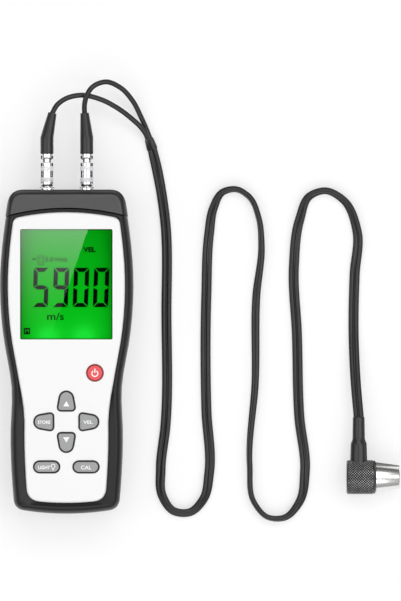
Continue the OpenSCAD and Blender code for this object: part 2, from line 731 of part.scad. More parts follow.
module top_cap() {
    tongue_y = joint_y - cap_sag(half_width(joint_y));
    tongue_in = case_wall + fit_gap;
    tongue_z = [back_round + 2, rear_depth + 6];
    color([0.33, 0.33, 0.34]) {
        difference() {
            skin([
                for (r = back_rings) level(cap_outline(r[0], 0), r[1]),
                for (r = front_rings) level(cap_outline(r[0], cap_lift(r[1])), r[1])
            ]);
            prism(outline(case_wall, [top_y - cap_end_wall, flat_edge, 2], [joint_y - over, -cap_arch, sharp]),
                case_wall, case_depth - case_wall);
            for (s = [-1, 1])
                translate([s * plug_pitch / 2, top_y - cap_end_wall - over, plug_height])
                    rotate([-90, 0, 0])
                        cylinder(d = socket_diameter + 2 * fit_gap, h = cap_end_wall + 2 * over);
        }
        for (s = [-1, 1]) {
            y0 = tongue_y - tongue_length;
            y1 = tongue_y + cap_gap + 0.6;
            y2 = tongue_y + 5;
            points = [
                [half_width(y0) - tongue_in, y0], [half_width(y1) - tongue_in, y1],
                [half_width(y1) - case_wall / 2, y1], [half_width(y2) - case_wall / 2, y2],
                [half_width(y2) - tongue_in - 1.6, y2], [half_width(y0) - tongue_in - 1.6, y0]
            ];
            prism([for (p = points) [s * p[0], p[1]]], tongue_z[0], tongue_z[1]);
        }
    }
}
module front_panel() {
    color("white")
        difference() {
            skin([
                level(panel_outline(0), panel_back),
                level(panel_outline(0), panel_face - panel_chamfer),
                level(panel_outline(panel_chamfer * 0.35), panel_face - panel_chamfer * 0.3),
                level(panel_outline(panel_chamfer), panel_face)
            ]);
            translate([0, window_y, 0])
                rounded_plate([window_width, window_height], window_corner, panel_back - over, panel_face + over);
            for (k = [0:6]) key_prism(k, key_gap, panel_back - over, panel_face + over);
        }
}

// Screen
module display_window() {
    color([0.75, 0.85, 0.8, 0.4])
        translate([0, window_y, 0])
            rounded_plate(lens_size, window_corner, panel_back - lens_thickness - 0.1, panel_back - 0.1);
}
module lcd_glass() {
    color([0.1, 0.75, 0.15])
        translate([0, window_y, 0])
            rounded_plate(lens_size, window_corner, glass_back, deck_back);
}
module lcd_frame() {
    color("whitesmoke")
        translate([0, window_y, 0])
            difference() {
                rounded_plate(lens_size, window_corner, board_top, glass_back);
                rounded_plate(lens_size - 2 * lcd_frame_wall * [1, 1], window_corner, board_top - over, glass_back + over);
            }
}
lcd_inside = lens_size - 2 * lcd_frame_wall * [1, 1];
guide_size = lcd_inside - [2 * fit_gap, contact_strip_depth + 3 * fit_gap];
guide_y = window_y - (contact_strip_depth + fit_gap) / 2;
lamp_size = [3, 1.2, 1.6];
function lamp_x(k) = guide_size[0] * ((k + 0.5) / lamp_count - 0.5) * 0.75;
module backlight_guide() {
    color([0.8, 1, 0.8])
        translate([0, guide_y, 0])
            difference() {
                rounded_plate(guide_size, window_corner, board_top, board_top + guide_thickness);
                for (k = [0:lamp_count - 1])
                    translate([lamp_x(k), -guide_size[1] / 2, board_top])
                        cube([lamp_size[0] + 2 * fit_gap, 2 * (lamp_size[1] + fit_gap), 2 * guide_thickness + over], center = true);
            }
}
module backlight_lamps() {
    color("lime")
        for (k = [0:lamp_count - 1])
            translate([lamp_x(k) - lamp_size[0] / 2, guide_y - guide_size[1] / 2, board_top]) cube(lamp_size);
}
module contact_strip() {
    y1 = window_y + lcd_inside[1] / 2 - fit_gap;
    color("silver")
        block(-window_width * 0.45, window_width * 0.45, y1 - contact_strip_depth, y1, board_top, glass_back);
}

// Board
module main_board() {
    board_end = [window_y + lens_size[1] / 2 + 0.4, flat_edge, 2];
    color("darkgreen")
        difference() {
            prism(outline(case_wall + board_gap, board_end, heel_end(case_wall + board_gap)), board_back, board_top);
            each_side([lower_screw]) post([0, 0], boss_radius + 0.4, board_back - over, board_top + over);
            each_side(post_places) post([0, 0], screw_radius + 0.2, board_back - over, board_top + over);
        }
}
module screw(z_head, length, s) {
    post([0, 0], head_radius, min(z_head, z_head - s * head_height), max(z_head, z_head - s * head_height));
    post([0, 0], screw_radius, z_head, z_head + length);
}
module board_screws() {
    color("silver") each_side(post_places) screw(board_back, board_thickness + thread_depth - 2, 1);
}
module case_screws() {
    color("silver")
        each_side(case_screw_places) screw(head_recess, rear_depth - head_recess + thread_depth, 1);
}
module key_switches() {
    color("black")
        for (p = key_places)
            translate([p[0], p[1], 0]) {
                block(-switch_side / 2, switch_side / 2, -switch_side / 2, switch_side / 2, board_top, switch_top - 1);
                post([0, 0], switch_side / 3, switch_top - 1, switch_top);
            }
}

// Keys
module power_key() {
    r = power_diameter / 2;
    flange = r + key_flange;
    flange_back = flange_top - flange_thickness;
    color("crimson")
        translate(power_at)
            rotate_extrude()
                polygon([
                    [0, stem_back], [r, stem_back], [r, flange_back], [flange, flange_back], [flange, flange_top],
                    [r, flange_top], [r, panel_face + key_rise / 2], [r - key_bevel * 0.6, key_top - key_rise / 8],
                    [r - key_bevel, key_top], [0, key_top]
                ]);
}
module up_key() { color("darkgray") key(1); }
module down_key() { color("darkgray") key(2); }
module left_key() { color("darkgray") key(3); }
module right_key() { color("darkgray") key(4); }
module light_key() { color("darkgray") key(5); }
module cal_key() { color("darkgray") key(6); }

// Battery bay
module battery_door() {
    grip_pitch = 2;
    color("dimgray")
        difference() {
            intersection() {
                rear_shape();
                door_prism(0, door_recess);
            }
            for (k = [0:grip_count - 1])
                block(-10, 10, bay_y0 + 4 + k * grip_pitch, bay_y0 + 5 + k * grip_pitch, -over, door_recess + 0.5);
        }
}
function cell_x(k) = (k - 1.5) * cell_pitch;
function cell_points_up(k) = k % 2 == 0;
module cell(k) {
    y0 = bay_y0 + contact_thickness + spring_length;
    middle = (bay_y0 + bay_y1) / 2;
    r = cell_diameter / 2;
    color("goldenrod")
        translate([0, middle, 0])
            mirror([0, cell_points_up(k) ? 0 : 1, 0])
                translate([0, y0 - middle, 0])
                    along_y(cell_x(k), cell_z)
                        polygon([
                            [0, 0], [r - 0.4, 0], [r, 0.4], [r, cell_length - 0.4], [r - 0.4, cell_length],
                            [1.9, cell_length], [1.9, cell_length + button_length], [0, cell_length + button_length]
                        ]);
}
module battery_1() { cell(0); }
module battery_2() { cell(1); }
module battery_3() { cell(2); }
module battery_4() { cell(3); }
module battery_springs() {
    turns = 3;
    per_turn = 9;
    count = turns * per_turn;
    color("silver")
        for (k = [0:3]) {
            plate = cell_points_up(k) ? bay_y0 + contact_thickness : bay_y1 - contact_thickness;
            s = cell_points_up(k) ? 1 : -1;
            rise = spring_length - 2 * spring_wire - 0.1;
            route = [
                for (i = [0:count])
                    let (f = i / count, r = spring_radius + (spring_tip - spring_radius) * f, a = 360 * turns * f)
                    [cell_x(k) + r * cos(a), plate + s * (spring_wire + 0.05 + rise * f), cell_z + r * sin(a), 0]
            ];
            sweep(route, round_section(spring_wire, 6), up = [0, 1, 0]);
        }
}
module contact(k0, k1, y) {
    block(cell_x(k0) - contact_side / 2, cell_x(k1) + contact_side / 2, y, y + contact_thickness,
        cell_z - contact_side / 2, cell_z + contact_side / 2);
}
module battery_contacts() {
    color("silver") {
        contact(0, 0, bay_y0);
        contact(1, 2, bay_y0);
        contact(3, 3, bay_y0);
        contact(0, 1, bay_y1 - contact_thickness);
        contact(2, 3, bay_y1 - contact_thickness);
    }
}
module battery_pins() {
    color("silver")
        for (k = [0, 3]) post([cell_x(k), pin_y], pin_radius, cell_z + contact_side / 2, board_back);
}

// Sockets and plugs
module socket(s) {
    r = socket_diameter / 2;
    wall_in = top_y - cap_end_wall;
    color("silver")
        along_y(s * plug_pitch / 2, plug_height)
            polygon([
                [0, solder_y], [lead_radius, solder_y], [lead_radius, socket_back], [r - 0.3, socket_back],
                [r - 0.3, wall_in - 1.5], [r + 1.2, wall_in - 1.5], [r + 1.2, wall_in], [r, wall_in],
                [r, socket_face], [nose_diameter / 2 + 0.1, socket_face], [nose_diameter / 2 + 0.1, nose_y - 0.2],
                [0, nose_y - 0.2]
            ]);
}
module socket_nut(s) {
    r = nut_diameter / 2;
    hole = socket_diameter / 2 + screw_gap;
    color("silver")
        along_y(s * plug_pitch / 2, plug_height)
            polygon([
                [hole, top_y], [r, top_y], [r, top_y + nut_thickness - 0.3], [r - 0.3, top_y + nut_thickness],
                [hole, top_y + nut_thickness]
            ]);
}
module left_socket() { socket(-1); }
module right_socket() { socket(1); }
module left_socket_nut() { socket_nut(-1); }
module right_socket_nut() { socket_nut(1); }
module socket_leads() {
    drop = solder_y - 5;
    color("black")
        for (s = [-1, 1]) {
            x = s * plug_pitch / 2;
            route = [
                [x, solder_y, plug_height, 0], [x, solder_y - 2, plug_height, 0],
                [x, drop + 1.4, plug_height + 0.4, 0], [x, drop + 0.2, plug_height + 1.6, 0],
                [x, drop, board_back, 0]
            ];
            sweep(route, round_section(lead_radius, 8), [0, -1, 0], [0, 0, 1], [1, 0, 0]);
        }
}
module plug_core(s) {
    r = barrel_diameter / 2;
    color("silver")
        along_y(s * plug_pitch / 2, plug_height)
            polygon([
                [0, nose_y], [nose_diameter / 2 - 0.3, nose_y], [nose_diameter / 2, nose_y + 0.3],
                [nose_diameter / 2, socket_face], [r, socket_face + 0.1], [r, boot_y], [0, boot_y]
            ]);
}
module release_sleeve(s) {
    r = sleeve_diameter / 2;
    b = r - sleeve_band;
    bore = max(nose_diameter, barrel_diameter) / 2 + sleeve_gap;
    y = [0, 0.4, 2.4, 2.7, 4.6, 4.9, sleeve_length - 4.6, sleeve_length - 4.3, sleeve_length - 2.4,
        sleeve_length - 2.1, sleeve_length - 0.4, sleeve_length];
    x = [r - 0.4, r - 0.1, r - 0.1, r, r, b, b, r, r, r - 0.1, r - 0.1, r - 0.5];
    color("silver")
        along_y(s * plug_pitch / 2, plug_height)
            polygon(concat([for (k = [0:len(y) - 1]) [x[k], sleeve_y + y[k]]],
                [[bore, sleeve_y + sleeve_length], [bore, sleeve_y]]));
}
module collet_nut(s) {
    r = collet_diameter / 2;
    hole = barrel_diameter / 2 + screw_gap;
    color("silver")
        along_y(s * plug_pitch / 2, plug_height)
            polygon([
                [hole, collet_y], [r - 0.4, collet_y], [r, collet_y + 0.4], [r, boot_y - 0.2],
                [r - 0.2, boot_y], [hole, boot_y]
            ]);
}
module left_plug_core() { plug_core(-1); }
module right_plug_core() { plug_core(1); }
module left_release_sleeve() { release_sleeve(-1); }
module right_release_sleeve() { release_sleeve(1); }
module left_collet_nut() { collet_nut(-1); }
module right_collet_nut() { collet_nut(1); }

// Cords
module boot(s, tip) {
    x = s * plug_pitch / 2;
    shift = tip[0] - x;
    rise = tip[1] - boot_y;
    steps = 10;
    color([0.25, 0.25, 0.26])
        skin([
            for (k = [0:steps])
                let (
                    f = k / steps,
                    g = max(0, (f - boot_straight) / (1 - boot_straight)),
                    r = (boot_diameter + (boot_tip - boot_diameter) * g) / 2,
                    facing = [shift * min(1, 2 * g) / (rise * (1 - boot_straight)), 1, 0]
                )
                ring([x + shift * g, boot_y + rise * f, plug_height + (tip[2] - plug_height) * g], unit(facing), 0,
                    round_section(r, 16), [0, 0, 1])
        ]);
}
module left_boot() { boot(-1, left_lead_route[0]); }
module right_boot() { boot(1, right_lead_route[0]); }
module lead(route, s) {
    tip = route[0];
    rise = tip[1] - boot_y;
    start = [(tip[0] - s * plug_pitch / 2) / (rise * (1 - boot_straight)), 1, 0];
    color([0.2, 0.2, 0.21]) sweep(curve(route, 0), round_section(low, 8), start, splitter_axis);
}
module left_lead() { lead(left_lead_route, -1); }
module right_lead() { lead(right_lead_route, 1); }
module cord_splitter() {
    ends = [splitter_top, twin_route[0]];
    color([0.2, 0.2, 0.21])
        skin([
            for (f = [0, 0.15, 0.5, 0.85, 1])
                let (p = ends[0] * (1 - f) + ends[1] * f, wall = splitter_wall * (f == 0 || f == 1 ? 0.5 : 1))
                ring(place(p), splitter_axis, p[3], twin_section(low + wall, low), [0, 0, 1])
        ]);
}
module twin_cord() {
    color([0.2, 0.2, 0.21])
        sweep(curve(twin_route, bend_step), twin_section(low, low), splitter_axis, [0, -1, 0]);
}

// Probe
module probe_boot() {
    r = probe_boot_base / 2;
    tip = probe_boot_tip / 2;
    shoulder = grip_y + grip_diameter / 2 + probe_boot_wide;
    color([0.25, 0.25, 0.26])
        along_y(probe_boot_x, grip_z)
            polygon([
                [0, seat_y], [r, seat_y], [r, seat_y + 2], [r - 0.25, shoulder], [tip + 0.2, shoulder + 2.4],
                [tip, probe_boot_y - 0.4], [tip - 0.3, probe_boot_y], [0, probe_boot_y]
            ]);
}
module probe_grip() {
    r = grip_diameter / 2;
    c = grip_chamfer;
    bore = spigot_diameter / 2 + screw_gap;
    depth = spigot_depth + backing + 4;
    color([0.2, 0.2, 0.2])
        difference() {
            along_x(grip_y, grip_z)
                polygon([
                    [0, grip_x], [r - c, grip_x], [r, grip_x + c], [r, nose_x - c], [r - c, nose_x],
                    [bore, nose_x], [bore, nose_x - depth], [0, nose_x - depth]
                ]);
            translate([probe_boot_x, seat_y, grip_z])
                rotate([-90, 0, 0]) cylinder(d = probe_boot_base + 2 * screw_gap, h = grip_diameter);
        }
}
module probe_nose() {
    bore = delay_diameter / 2 + screw_gap;
    color("silver")
        along_x(grip_y, grip_z)
            polygon([
                [bore, nose_x - spigot_depth], [spigot_diameter / 2, nose_x - spigot_depth], [spigot_diameter / 2, nose_x],
                [nose_base / 2 - 0.2, nose_x], [nose_base / 2, nose_x + 0.2], [nose_tip / 2, tip_x - 0.3],
                [nose_tip / 2 - 0.3, tip_x], [bore, tip_x]
            ]);
}
module half_round(s, r, x0, x1) {
    intersection() {
        translate([x0, grip_y, grip_z]) rotate([0, 90, 0]) cylinder(r = r, h = x1 - x0);
        if (s > 0) block(x0 - over, x1 + over, grip_y + barrier_thickness / 2, grip_y + 2 * r, 0, 2 * grip_z);
        else block(x0 - over, x1 + over, grip_y - 2 * r, grip_y - barrier_thickness / 2, 0, 2 * grip_z);
    }
}
delay_back = nose_x - spigot_depth + backing;
module upper_delay_line() { color("lightyellow") half_round(1, delay_diameter / 2, delay_back, tip_x); }
module lower_delay_line() { color("lightyellow") half_round(-1, delay_diameter / 2, delay_back, tip_x); }
module acoustic_barrier() {
    half = sqrt(delay_diameter^2 - barrier_thickness^2) / 2;
    color("saddlebrown")
        block(delay_back - crystal_thickness, tip_x, grip_y - barrier_thickness / 2, grip_y + barrier_thickness / 2,
            grip_z - half, grip_z + half);
}
module crystals() {
    color("gold") for (s = [-1, 1]) half_round(s, delay_diameter / 2 - 0.3, delay_back - crystal_thickness, delay_back);
}

rear_cover();
front_cover();
top_cap();
front_panel();
display_window();
lcd_glass();
lcd_frame();
backlight_guide();
backlight_lamps();
contact_strip();
main_board();
board_screws();
key_switches();
power_key();
up_key();
down_key();
left_key();
right_key();
light_key();
cal_key();
battery_door();
battery_1();
battery_2();
battery_3();
battery_4();
battery_springs();
battery_contacts();
battery_pins();
case_screws();
left_socket();
right_socket();
left_socket_nut();
right_socket_nut();
socket_leads();
left_plug_core();
right_plug_core();
left_release_sleeve();
right_release_sleeve();
left_collet_nut();
right_collet_nut();
left_boot();
right_boot();
left_lead();
right_lead();
cord_splitter();
twin_cord();
probe_boot();
probe_grip();
probe_nose();
upper_delay_line();
lower_delay_line();
acoustic_barrier();
crystals();
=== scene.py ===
import math

import bmesh
import bpy
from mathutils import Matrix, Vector


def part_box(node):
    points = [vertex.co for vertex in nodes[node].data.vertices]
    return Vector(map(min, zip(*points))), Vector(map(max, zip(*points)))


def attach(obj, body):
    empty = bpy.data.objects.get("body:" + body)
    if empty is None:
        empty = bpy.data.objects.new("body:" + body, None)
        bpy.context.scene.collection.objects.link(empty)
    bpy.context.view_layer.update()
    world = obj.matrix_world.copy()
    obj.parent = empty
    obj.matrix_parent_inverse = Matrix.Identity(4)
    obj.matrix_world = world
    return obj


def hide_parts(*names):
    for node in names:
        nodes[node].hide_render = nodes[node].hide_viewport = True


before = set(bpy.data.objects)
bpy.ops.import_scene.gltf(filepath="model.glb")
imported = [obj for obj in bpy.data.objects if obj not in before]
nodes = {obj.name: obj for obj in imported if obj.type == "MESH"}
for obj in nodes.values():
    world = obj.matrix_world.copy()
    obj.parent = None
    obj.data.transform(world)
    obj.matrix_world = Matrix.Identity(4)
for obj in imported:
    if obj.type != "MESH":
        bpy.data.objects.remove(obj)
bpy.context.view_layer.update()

scene = bpy.context.scene
scene.view_settings.view_transform = "Standard"

# Viewpoint. The gauge lies on its back on a white table and is looked at from straight above
# through a long lens.
eye_height = 4.0
scale_height = 0.012
picture_height = 0.3254
picture_middle = (0.0723, 0.0276)
camera = bpy.data.objects.new("camera", bpy.data.cameras.new("camera"))
camera.location = (*picture_middle, eye_height)
camera.data.lens = camera.data.sensor_width * (eye_height - scale_height) / picture_height
camera.data.clip_end = 30
scene.collection.objects.link(camera)
scene.camera = camera


# Twin cord. Two coaxial strands in one soft black jacket, bonded along a thin web, lie in long
# loops on the table. It runs from the splitter sleeve to the boot of the probe.
def seen(red, green, blue):
    """A colour as it is seen, 0 to 255, for a shader's socket."""
    parts = [c / 255 for c in (red, green, blue)]
    return [c / 12.92 if c <= 0.04045 else ((c + 0.055) / 1.055) ** 2.4 for c in parts] + [1.0]


def new_material(name):
    made = bpy.data.materials.new(name)
    made.use_nodes = True
    tree = made.node_tree
    return made, tree, tree.nodes["Principled BSDF"]


def feed(tree, node, values):
    """Gives each input of a node a value, or a link from another node's output."""
    for key, value in values.items():
        if isinstance(value, bpy.types.NodeSocket):
            tree.links.new(value, node.inputs[key])
        else:
            node.inputs[key].default_value = value


def add_node(tree, kind, values=None, **settings):
    """A new node with its settings made and its inputs fed."""
    made = tree.nodes.new(kind)
    for name, value in settings.items():
        setattr(made, name, value)
    feed(tree, made, values or {})
    return made


def calc(tree, operation, *values, clamp=False):
    """The result of a sum on values and outputs, worked out in the tree."""
    made = add_node(tree, "ShaderNodeMath", dict(enumerate(values)), operation=operation, use_clamp=clamp)
    return made.outputs[0]


def ranged(tree, value, start, end, low=0.0, high=1.0):
    """Where a value lies between start and end, as a number from low to high."""
    limits = {"From Min": start, "From Max": end, "To Min": low, "To Max": high}
    return add_node(tree, "ShaderNodeMapRange", {"Value": value, **limits}).outputs["Result"]


def mixed(tree, share, first, second):
    """The first colour where the share is 0, and the second where it is 1."""
    colours = {"Factor": share, "A": first, "B": second}
    return add_node(tree, "ShaderNodeMix", colours, data_type="RGBA").outputs["Result"]


def noise(tree, vector, scale, detail=2):
    values = {"Vector": vector, "Scale": scale, "Detail": detail}
    return add_node(tree, "ShaderNodeTexNoise", values).outputs["Fac"]


def place_in(tree, output="Object"):
    return add_node(tree, "ShaderNodeTexCoord").outputs[output]


def split(tree, vector):
    return add_node(tree, "ShaderNodeSeparateXYZ", {0: vector}).outputs


broad_scale, broad_detail = 70, 4
gloss_swing = 0.07
least_roughness = 0.02
relief_strength = 0.6


def moulded(name, colour, roughness, grain=0.0004, relief=0.00001, mottle=0.06, metallic=0.0, specular=0.5):
    """A finish with a fine grain in relief, and slow changes of tone and gloss."""
    made, tree, shader = new_material(name)
    place = place_in(tree)
    fine = noise(tree, place, 1 / grain)
    broad = noise(tree, place, broad_scale, broad_detail)
    share = calc(tree, "MULTIPLY_ADD", fine, 0.5, calc(tree, "MULTIPLY", broad, 0.5))
    darker = [c * (1 - mottle) for c in colour[:3]] + [1]
    lighter = [min(1, c * (1 + mottle)) for c in colour[:3]] + [1]
    smoothest, roughest = max(least_roughness, roughness - gloss_swing), min(1, roughness + gloss_swing)
    bump = add_node(tree, "ShaderNodeBump", {"Height": fine, "Strength": relief_strength, "Distance": relief})
    feed(tree, shader, {
        "Base Color": mixed(tree, share, darker, lighter),
        "Roughness": ranged(tree, broad, 0, 1, smoothest, roughest),
        "Normal": bump.outputs["Normal"], "Metallic": metallic, "Specular IOR Level": specular,
    })
    return made


def piece(name, verts, faces, material, body="gauge", slot=None, stands_for=(), sharp=32):
    """A closed mesh with its faces outwards, soft over shallow edges, on a body."""
    mesh = bpy.data.meshes.new(name)
    mesh.from_pydata([tuple(v) for v in verts], [], faces)
    work = bmesh.new()
    work.from_mesh(mesh)
    bmesh.ops.remove_doubles(work, verts=work.verts, dist=1e-7)
    bmesh.ops.recalc_face_normals(work, faces=work.faces)
    work.to_mesh(mesh)
    work.free()
    mesh.shade_smooth()
    mesh.set_sharp_from_angle(angle=math.radians(sharp))
    mesh.materials.append(material)
    made = bpy.data.objects.new(name, mesh)
    scene.collection.objects.link(made)
    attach(made, body)
    if stands_for:
        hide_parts(*stands_for)
    return made


def skin(rings):
    """Points and faces of a closed skin over rings of points."""
    count = len(rings[0])
    verts = [p for ring in rings for p in ring]
    faces = []
    for k in range(len(rings) - 1):
        for i in range(count):
            j = (i + 1) % count
            faces.append((k * count + i, k * count + j, (k + 1) * count + j, (k + 1) * count + i))
    last = (len(rings) - 1) * count
    faces.append(tuple(range(count)))
    faces.append(tuple(range(last + count - 1, last - 1, -1)))
    return verts, faces


def arc(cx, cy, r, start, end, steps):
    """Points on an arc, from one angle in degrees to another."""
    angles = [math.radians(start + (end - start) * k / steps) for k in range(steps + 1)]
    return [(cx + r * math.cos(a), cy + r * math.sin(a)) for a in angles]


def reach(p, q):
    return math.dist(p[:3], q[:3])


def heading(p, i):
    """The direction of a route at one of its points, with the roll's change beside it."""
    if i == 0:
        return [(b - a) / reach(p[0], p[1]) for a, b in zip(p[0], p[1])]
    if i == len(p) - 1:
        return [(b - a) / reach(p[-2], p[-1]) for a, b in zip(p[-2], p[-1])]
    before, after = reach(p[i - 1], p[i]), reach(p[i], p[i + 1])
    return [
        ((b - a) * after / before + (c - b) * before / after) / (before + after)
        for a, b, c in zip(p[i - 1], p[i], p[i + 1])
    ]


def smooth_route(p, step):
    """Points on the curve through a route, about a step apart."""
    made = []
    for i in range(len(p) - 1):
        d = reach(p[i], p[i + 1])
        m0, m1 = heading(p, i), heading(p, i + 1)
        count = max(2, round(d / step))
        for k in range(count):
            t = k / count
            made.append([
                a * (2 * t**3 - 3 * t**2 + 1) + b * (3 * t**2 - 2 * t**3)
                + d * (u * (t**3 - 2 * t**2 + t) + v * (t**3 - t**2))
                for a, b, u, v in zip(p[i], p[i + 1], m0, m1)
            ])
    made.append(list(p[-1]))
    return made


def ring_at(at, facing, roll, section):
    """A section's points round a place, square to a direction and rolled about it."""
    facing = Vector(facing).normalized()
    side = facing.cross(Vector((0, 0, 1))).normalized()
    down = facing.cross(side)
    c, s = math.cos(math.radians(roll)), math.sin(math.radians(roll))
    a, b = side * c + down * s, down * c - side * s
    return [Vector(at[:3]) + a * u + b * v for u, v in section]


def sweep(route, section, start, finish):
    """A skin over a section along a route, square to its two end directions."""
    rings = []
    for i, at in enumerate(route):
        if i == 0:
            facing = start
        elif i == len(route) - 1:
            facing = finish
        else:
            facing = Vector(route[i + 1][:3]) - Vector(route[i - 1][:3])
        rings.append(ring_at(at, facing, at[3], section))
    return skin(rings)


# Each point of a route is x, y, z in metres and the roll of the section in degrees.
strand = 0.0014
web = 32
twin_section = arc(strand, 0, strand, web - 180, 180 - web, 12) + arc(-strand, 0, strand, web, 360 - web, 12)
twin_points = [
    (0.0462, 0.1095, 0.0022, 30), (0.0489, 0.0978, 0.0015, 0), (0.053, 0.072, 0.0014, 0),
    (0.0538, 0.02, 0.0014, 0), (0.0533, -0.04, 0.0014, 0), (0.0507, -0.064, 0.0019, 20),
    (0.0515, -0.0782, 0.0023, 40), (0.0576, -0.0866, 0.0025, 52), (0.0666, -0.0873, 0.0025, 52),
    (0.074, -0.08, 0.0023, 40), (0.077, -0.066, 0.0019, 20), (0.0755, -0.032, 0.0014, 0),
    (0.0755, 0.032, 0.0014, 0), (0.077, 0.064, 0.0019, 20), (0.0794, 0.078, 0.0023, 42),
    (0.084, 0.0862, 0.0027, 68), (0.0915, 0.088, 0.0028, 80), (0.0988, 0.0838, 0.0028, 82),
    (0.104, 0.072, 0.0028, 82), (0.1054, 0.058, 0.0027, 74), (0.1026, 0.03, 0.0025, 54),
    (0.102, -0.016, 0.0026, 62), (0.099, -0.062, 0.0028, 82), (0.1013, -0.0818, 0.0028, 84),
    (0.1086, -0.0899, 0.0028, 84), (0.118, -0.0902, 0.0027, 74), (0.1262, -0.0813, 0.0024, 48),
    (0.129, -0.065, 0.0018, 18), (0.126, -0.036, 0.0014, 0), (0.1246, 0.01, 0.0014, 0),
    (0.123, 0.046, 0.0015, 4), (0.1262, 0.0718, 0.0021, 30), (0.1314, 0.0842, 0.0026, 58),
    (0.14, 0.0872, 0.0027, 70), (0.15, 0.082, 0.0026, 60), (0.1573, 0.065, 0.0021, 34),
    (0.156, 0.042, 0.0015, 4), (0.1554, 0.01, 0.002, 0), (0.1564, -0.016, 0.0066, 0),
    (0.158, -0.03535, 0.0092, 0),
]
twin_step = 0.0018
splitter_axis = (0.316, -0.949, 0)
into_probe = (0, -1, 0)
jacket = moulded("cord_jacket", seen(26, 26, 27), 0.3, grain=0.0005, relief=0.000015)
twin_line = smooth_route(twin_points, twin_step)
twin = piece(
    "twin_jacket", *sweep(twin_line, twin_section, splitter_axis, into_probe), jacket,
    slot="cord_jacket", stands_for=["twin_cord"],
)

# Leads. Above the splitter the two strands part, cross, and rise to their plugs. Each plug has a
# soft moulded boot that tapers on to its lead, and the splitter is a short shrunk sleeve.
plug_pitch = 0.0215
plug_height = 0.016
lead_step = 0.0014
left_points = [
    (-0.0078, 0.129, 0.016, 0), (-0.0056, 0.133, 0.0156, 0), (-0.0014, 0.1364, 0.0148, 0),
    (0.007, 0.1387, 0.0136, 0), (0.0185, 0.1364, 0.012, 0), (0.0274, 0.1318, 0.0102, 0),
    (0.0354, 0.1258, 0.0076, 0), (0.0406, 0.1208, 0.0054, 0), (0.0432, 0.1166, 0.0041, 0),
    (0.0436, 0.1154, 0.004, 0),
]
right_points = [
    (0.0096, 0.129, 0.016, 0), (0.0095, 0.1326, 0.0168, 0), (0.0103, 0.137, 0.0176, 0),
    (0.0134, 0.1426, 0.0174, 0), (0.021, 0.1459, 0.0152, 0), (0.029, 0.1428, 0.0118, 0),
    (0.0354, 0.136, 0.008, 0), (0.04, 0.1272, 0.004, 0), (0.0434, 0.1194, 0.0018, 0),
    (0.0448, 0.1158, 0.0014, 0),
]
boot_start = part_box("left_boot")[0].y
boot_straight = 0.4
boot_wide, boot_narrow = 0.0071, 0.0046
boot_edge = 0.00015
boot_mouth = 0.66
boot_steps = 40
boot_rubber = moulded("boot_rubber", seen(40, 40, 40), 0.31, grain=0.0006, relief=0.00002)


def circle(r, count):
    return arc(0, 0, r, 0, 360 * (count - 1) / count, count - 1)


def boot_rings(side, tip):
    """A skin that runs straight off the plug, then bends and tapers to the lead."""
    x = side * plug_pitch / 2
    shift, rise = tip[0] - x, tip[1] - boot_start
    rings = []
    for k in range(boot_steps + 1):
        f = k / boot_steps
        bent = max(0, (f - boot_straight) / (1 - boot_straight))
        r = (boot_wide + (boot_narrow - boot_wide) * bent) / 2
        if k == 0:
            r -= boot_edge
        facing = (shift * min(1, 2 * bent) / (rise * (1 - boot_straight)), 1, 0)
        at = (x + shift * bent, boot_start + rise * f, plug_height)
        rings.append(ring_at(at, facing, 0, circle(r, 32)))
    last = rings[-1]
    middle = sum(last, Vector()) / len(last)
    rings.append([middle + (p - middle) * boot_mouth for p in last])
    return skin(rings)


left_shape, right_shape = boot_rings(-1, left_points[0]), boot_rings(1, right_points[0])
left_boot = piece("left_plug_boot", *left_shape, boot_rubber, slot="boot_rubber", stands_for=["left_boot"])
right_boot = piece("right_plug_boot", *right_shape, boot_rubber, slot="boot_rubber", stands_for=["right_boot"])

splitter_ends = ((0.0442, 0.1156, 0.0027, 64), twin_points[0])
splitter_wall = 0.0004
splitter_steps = 12
rounded_ends = {0: 0.5, 1: 0.85}
splitter_rings = []
for k in range(splitter_steps + 1):
    f = k / splitter_steps
    at = [a * (1 - f) + b * f for a, b in zip(*splitter_ends)]
    r = strand + splitter_wall * rounded_ends.get(min(k, splitter_steps - k), 1)
    section = arc(strand, 0, r, -90, 90, 12) + arc(-strand, 0, r, 90, 270, 12)
    splitter_rings.append(ring_at(at, splitter_axis, at[3], section))
splitter = piece(
    "splitter_sleeve", *skin(splitter_rings), boot_rubber, slot="boot_rubber", stands_for=["cord_splitter"],
)


def lead(name, node, points, side):
    """A single strand that leaves its boot along the boot's bend and ends in the splitter."""
    tip = points[0]
    start = ((tip[0] - side * plug_pitch / 2) / ((tip[1] - boot_start) * (1 - boot_straight)), 1, 0)
    line = smooth_route(points, lead_step)
    shape = sweep(line, circle(strand, 16), start, splitter_axis)
    made = piece(name, *shape, jacket, slot="cord_jacket", stands_for=[node])


lead("left_lead_jacket", "left_lead", left_points, -1)
lead("right_lead_jacket", "right_lead", right_points, 1)


# Table and light. A white table takes the soft shadow of four soft boxes that stand round the
# gauge. One lit and two dark cards show only in what is polished.
def sheet(name, corners, finish):
    """A flat sheet of the studio, no part of the gauge."""
    made = bpy.data.objects.new(name, bpy.data.meshes.new(name))
    made.data.from_pydata(corners, [], [tuple(range(len(corners)))])
    made.data.materials.append(finish)
    scene.collection.objects.link(made)
    return made


def rectangle(x0, x1, y0, y1, z):
    return [(x0, y0, z), (x1, y0, z), (x1, y1, z), (x0, y1, z)]


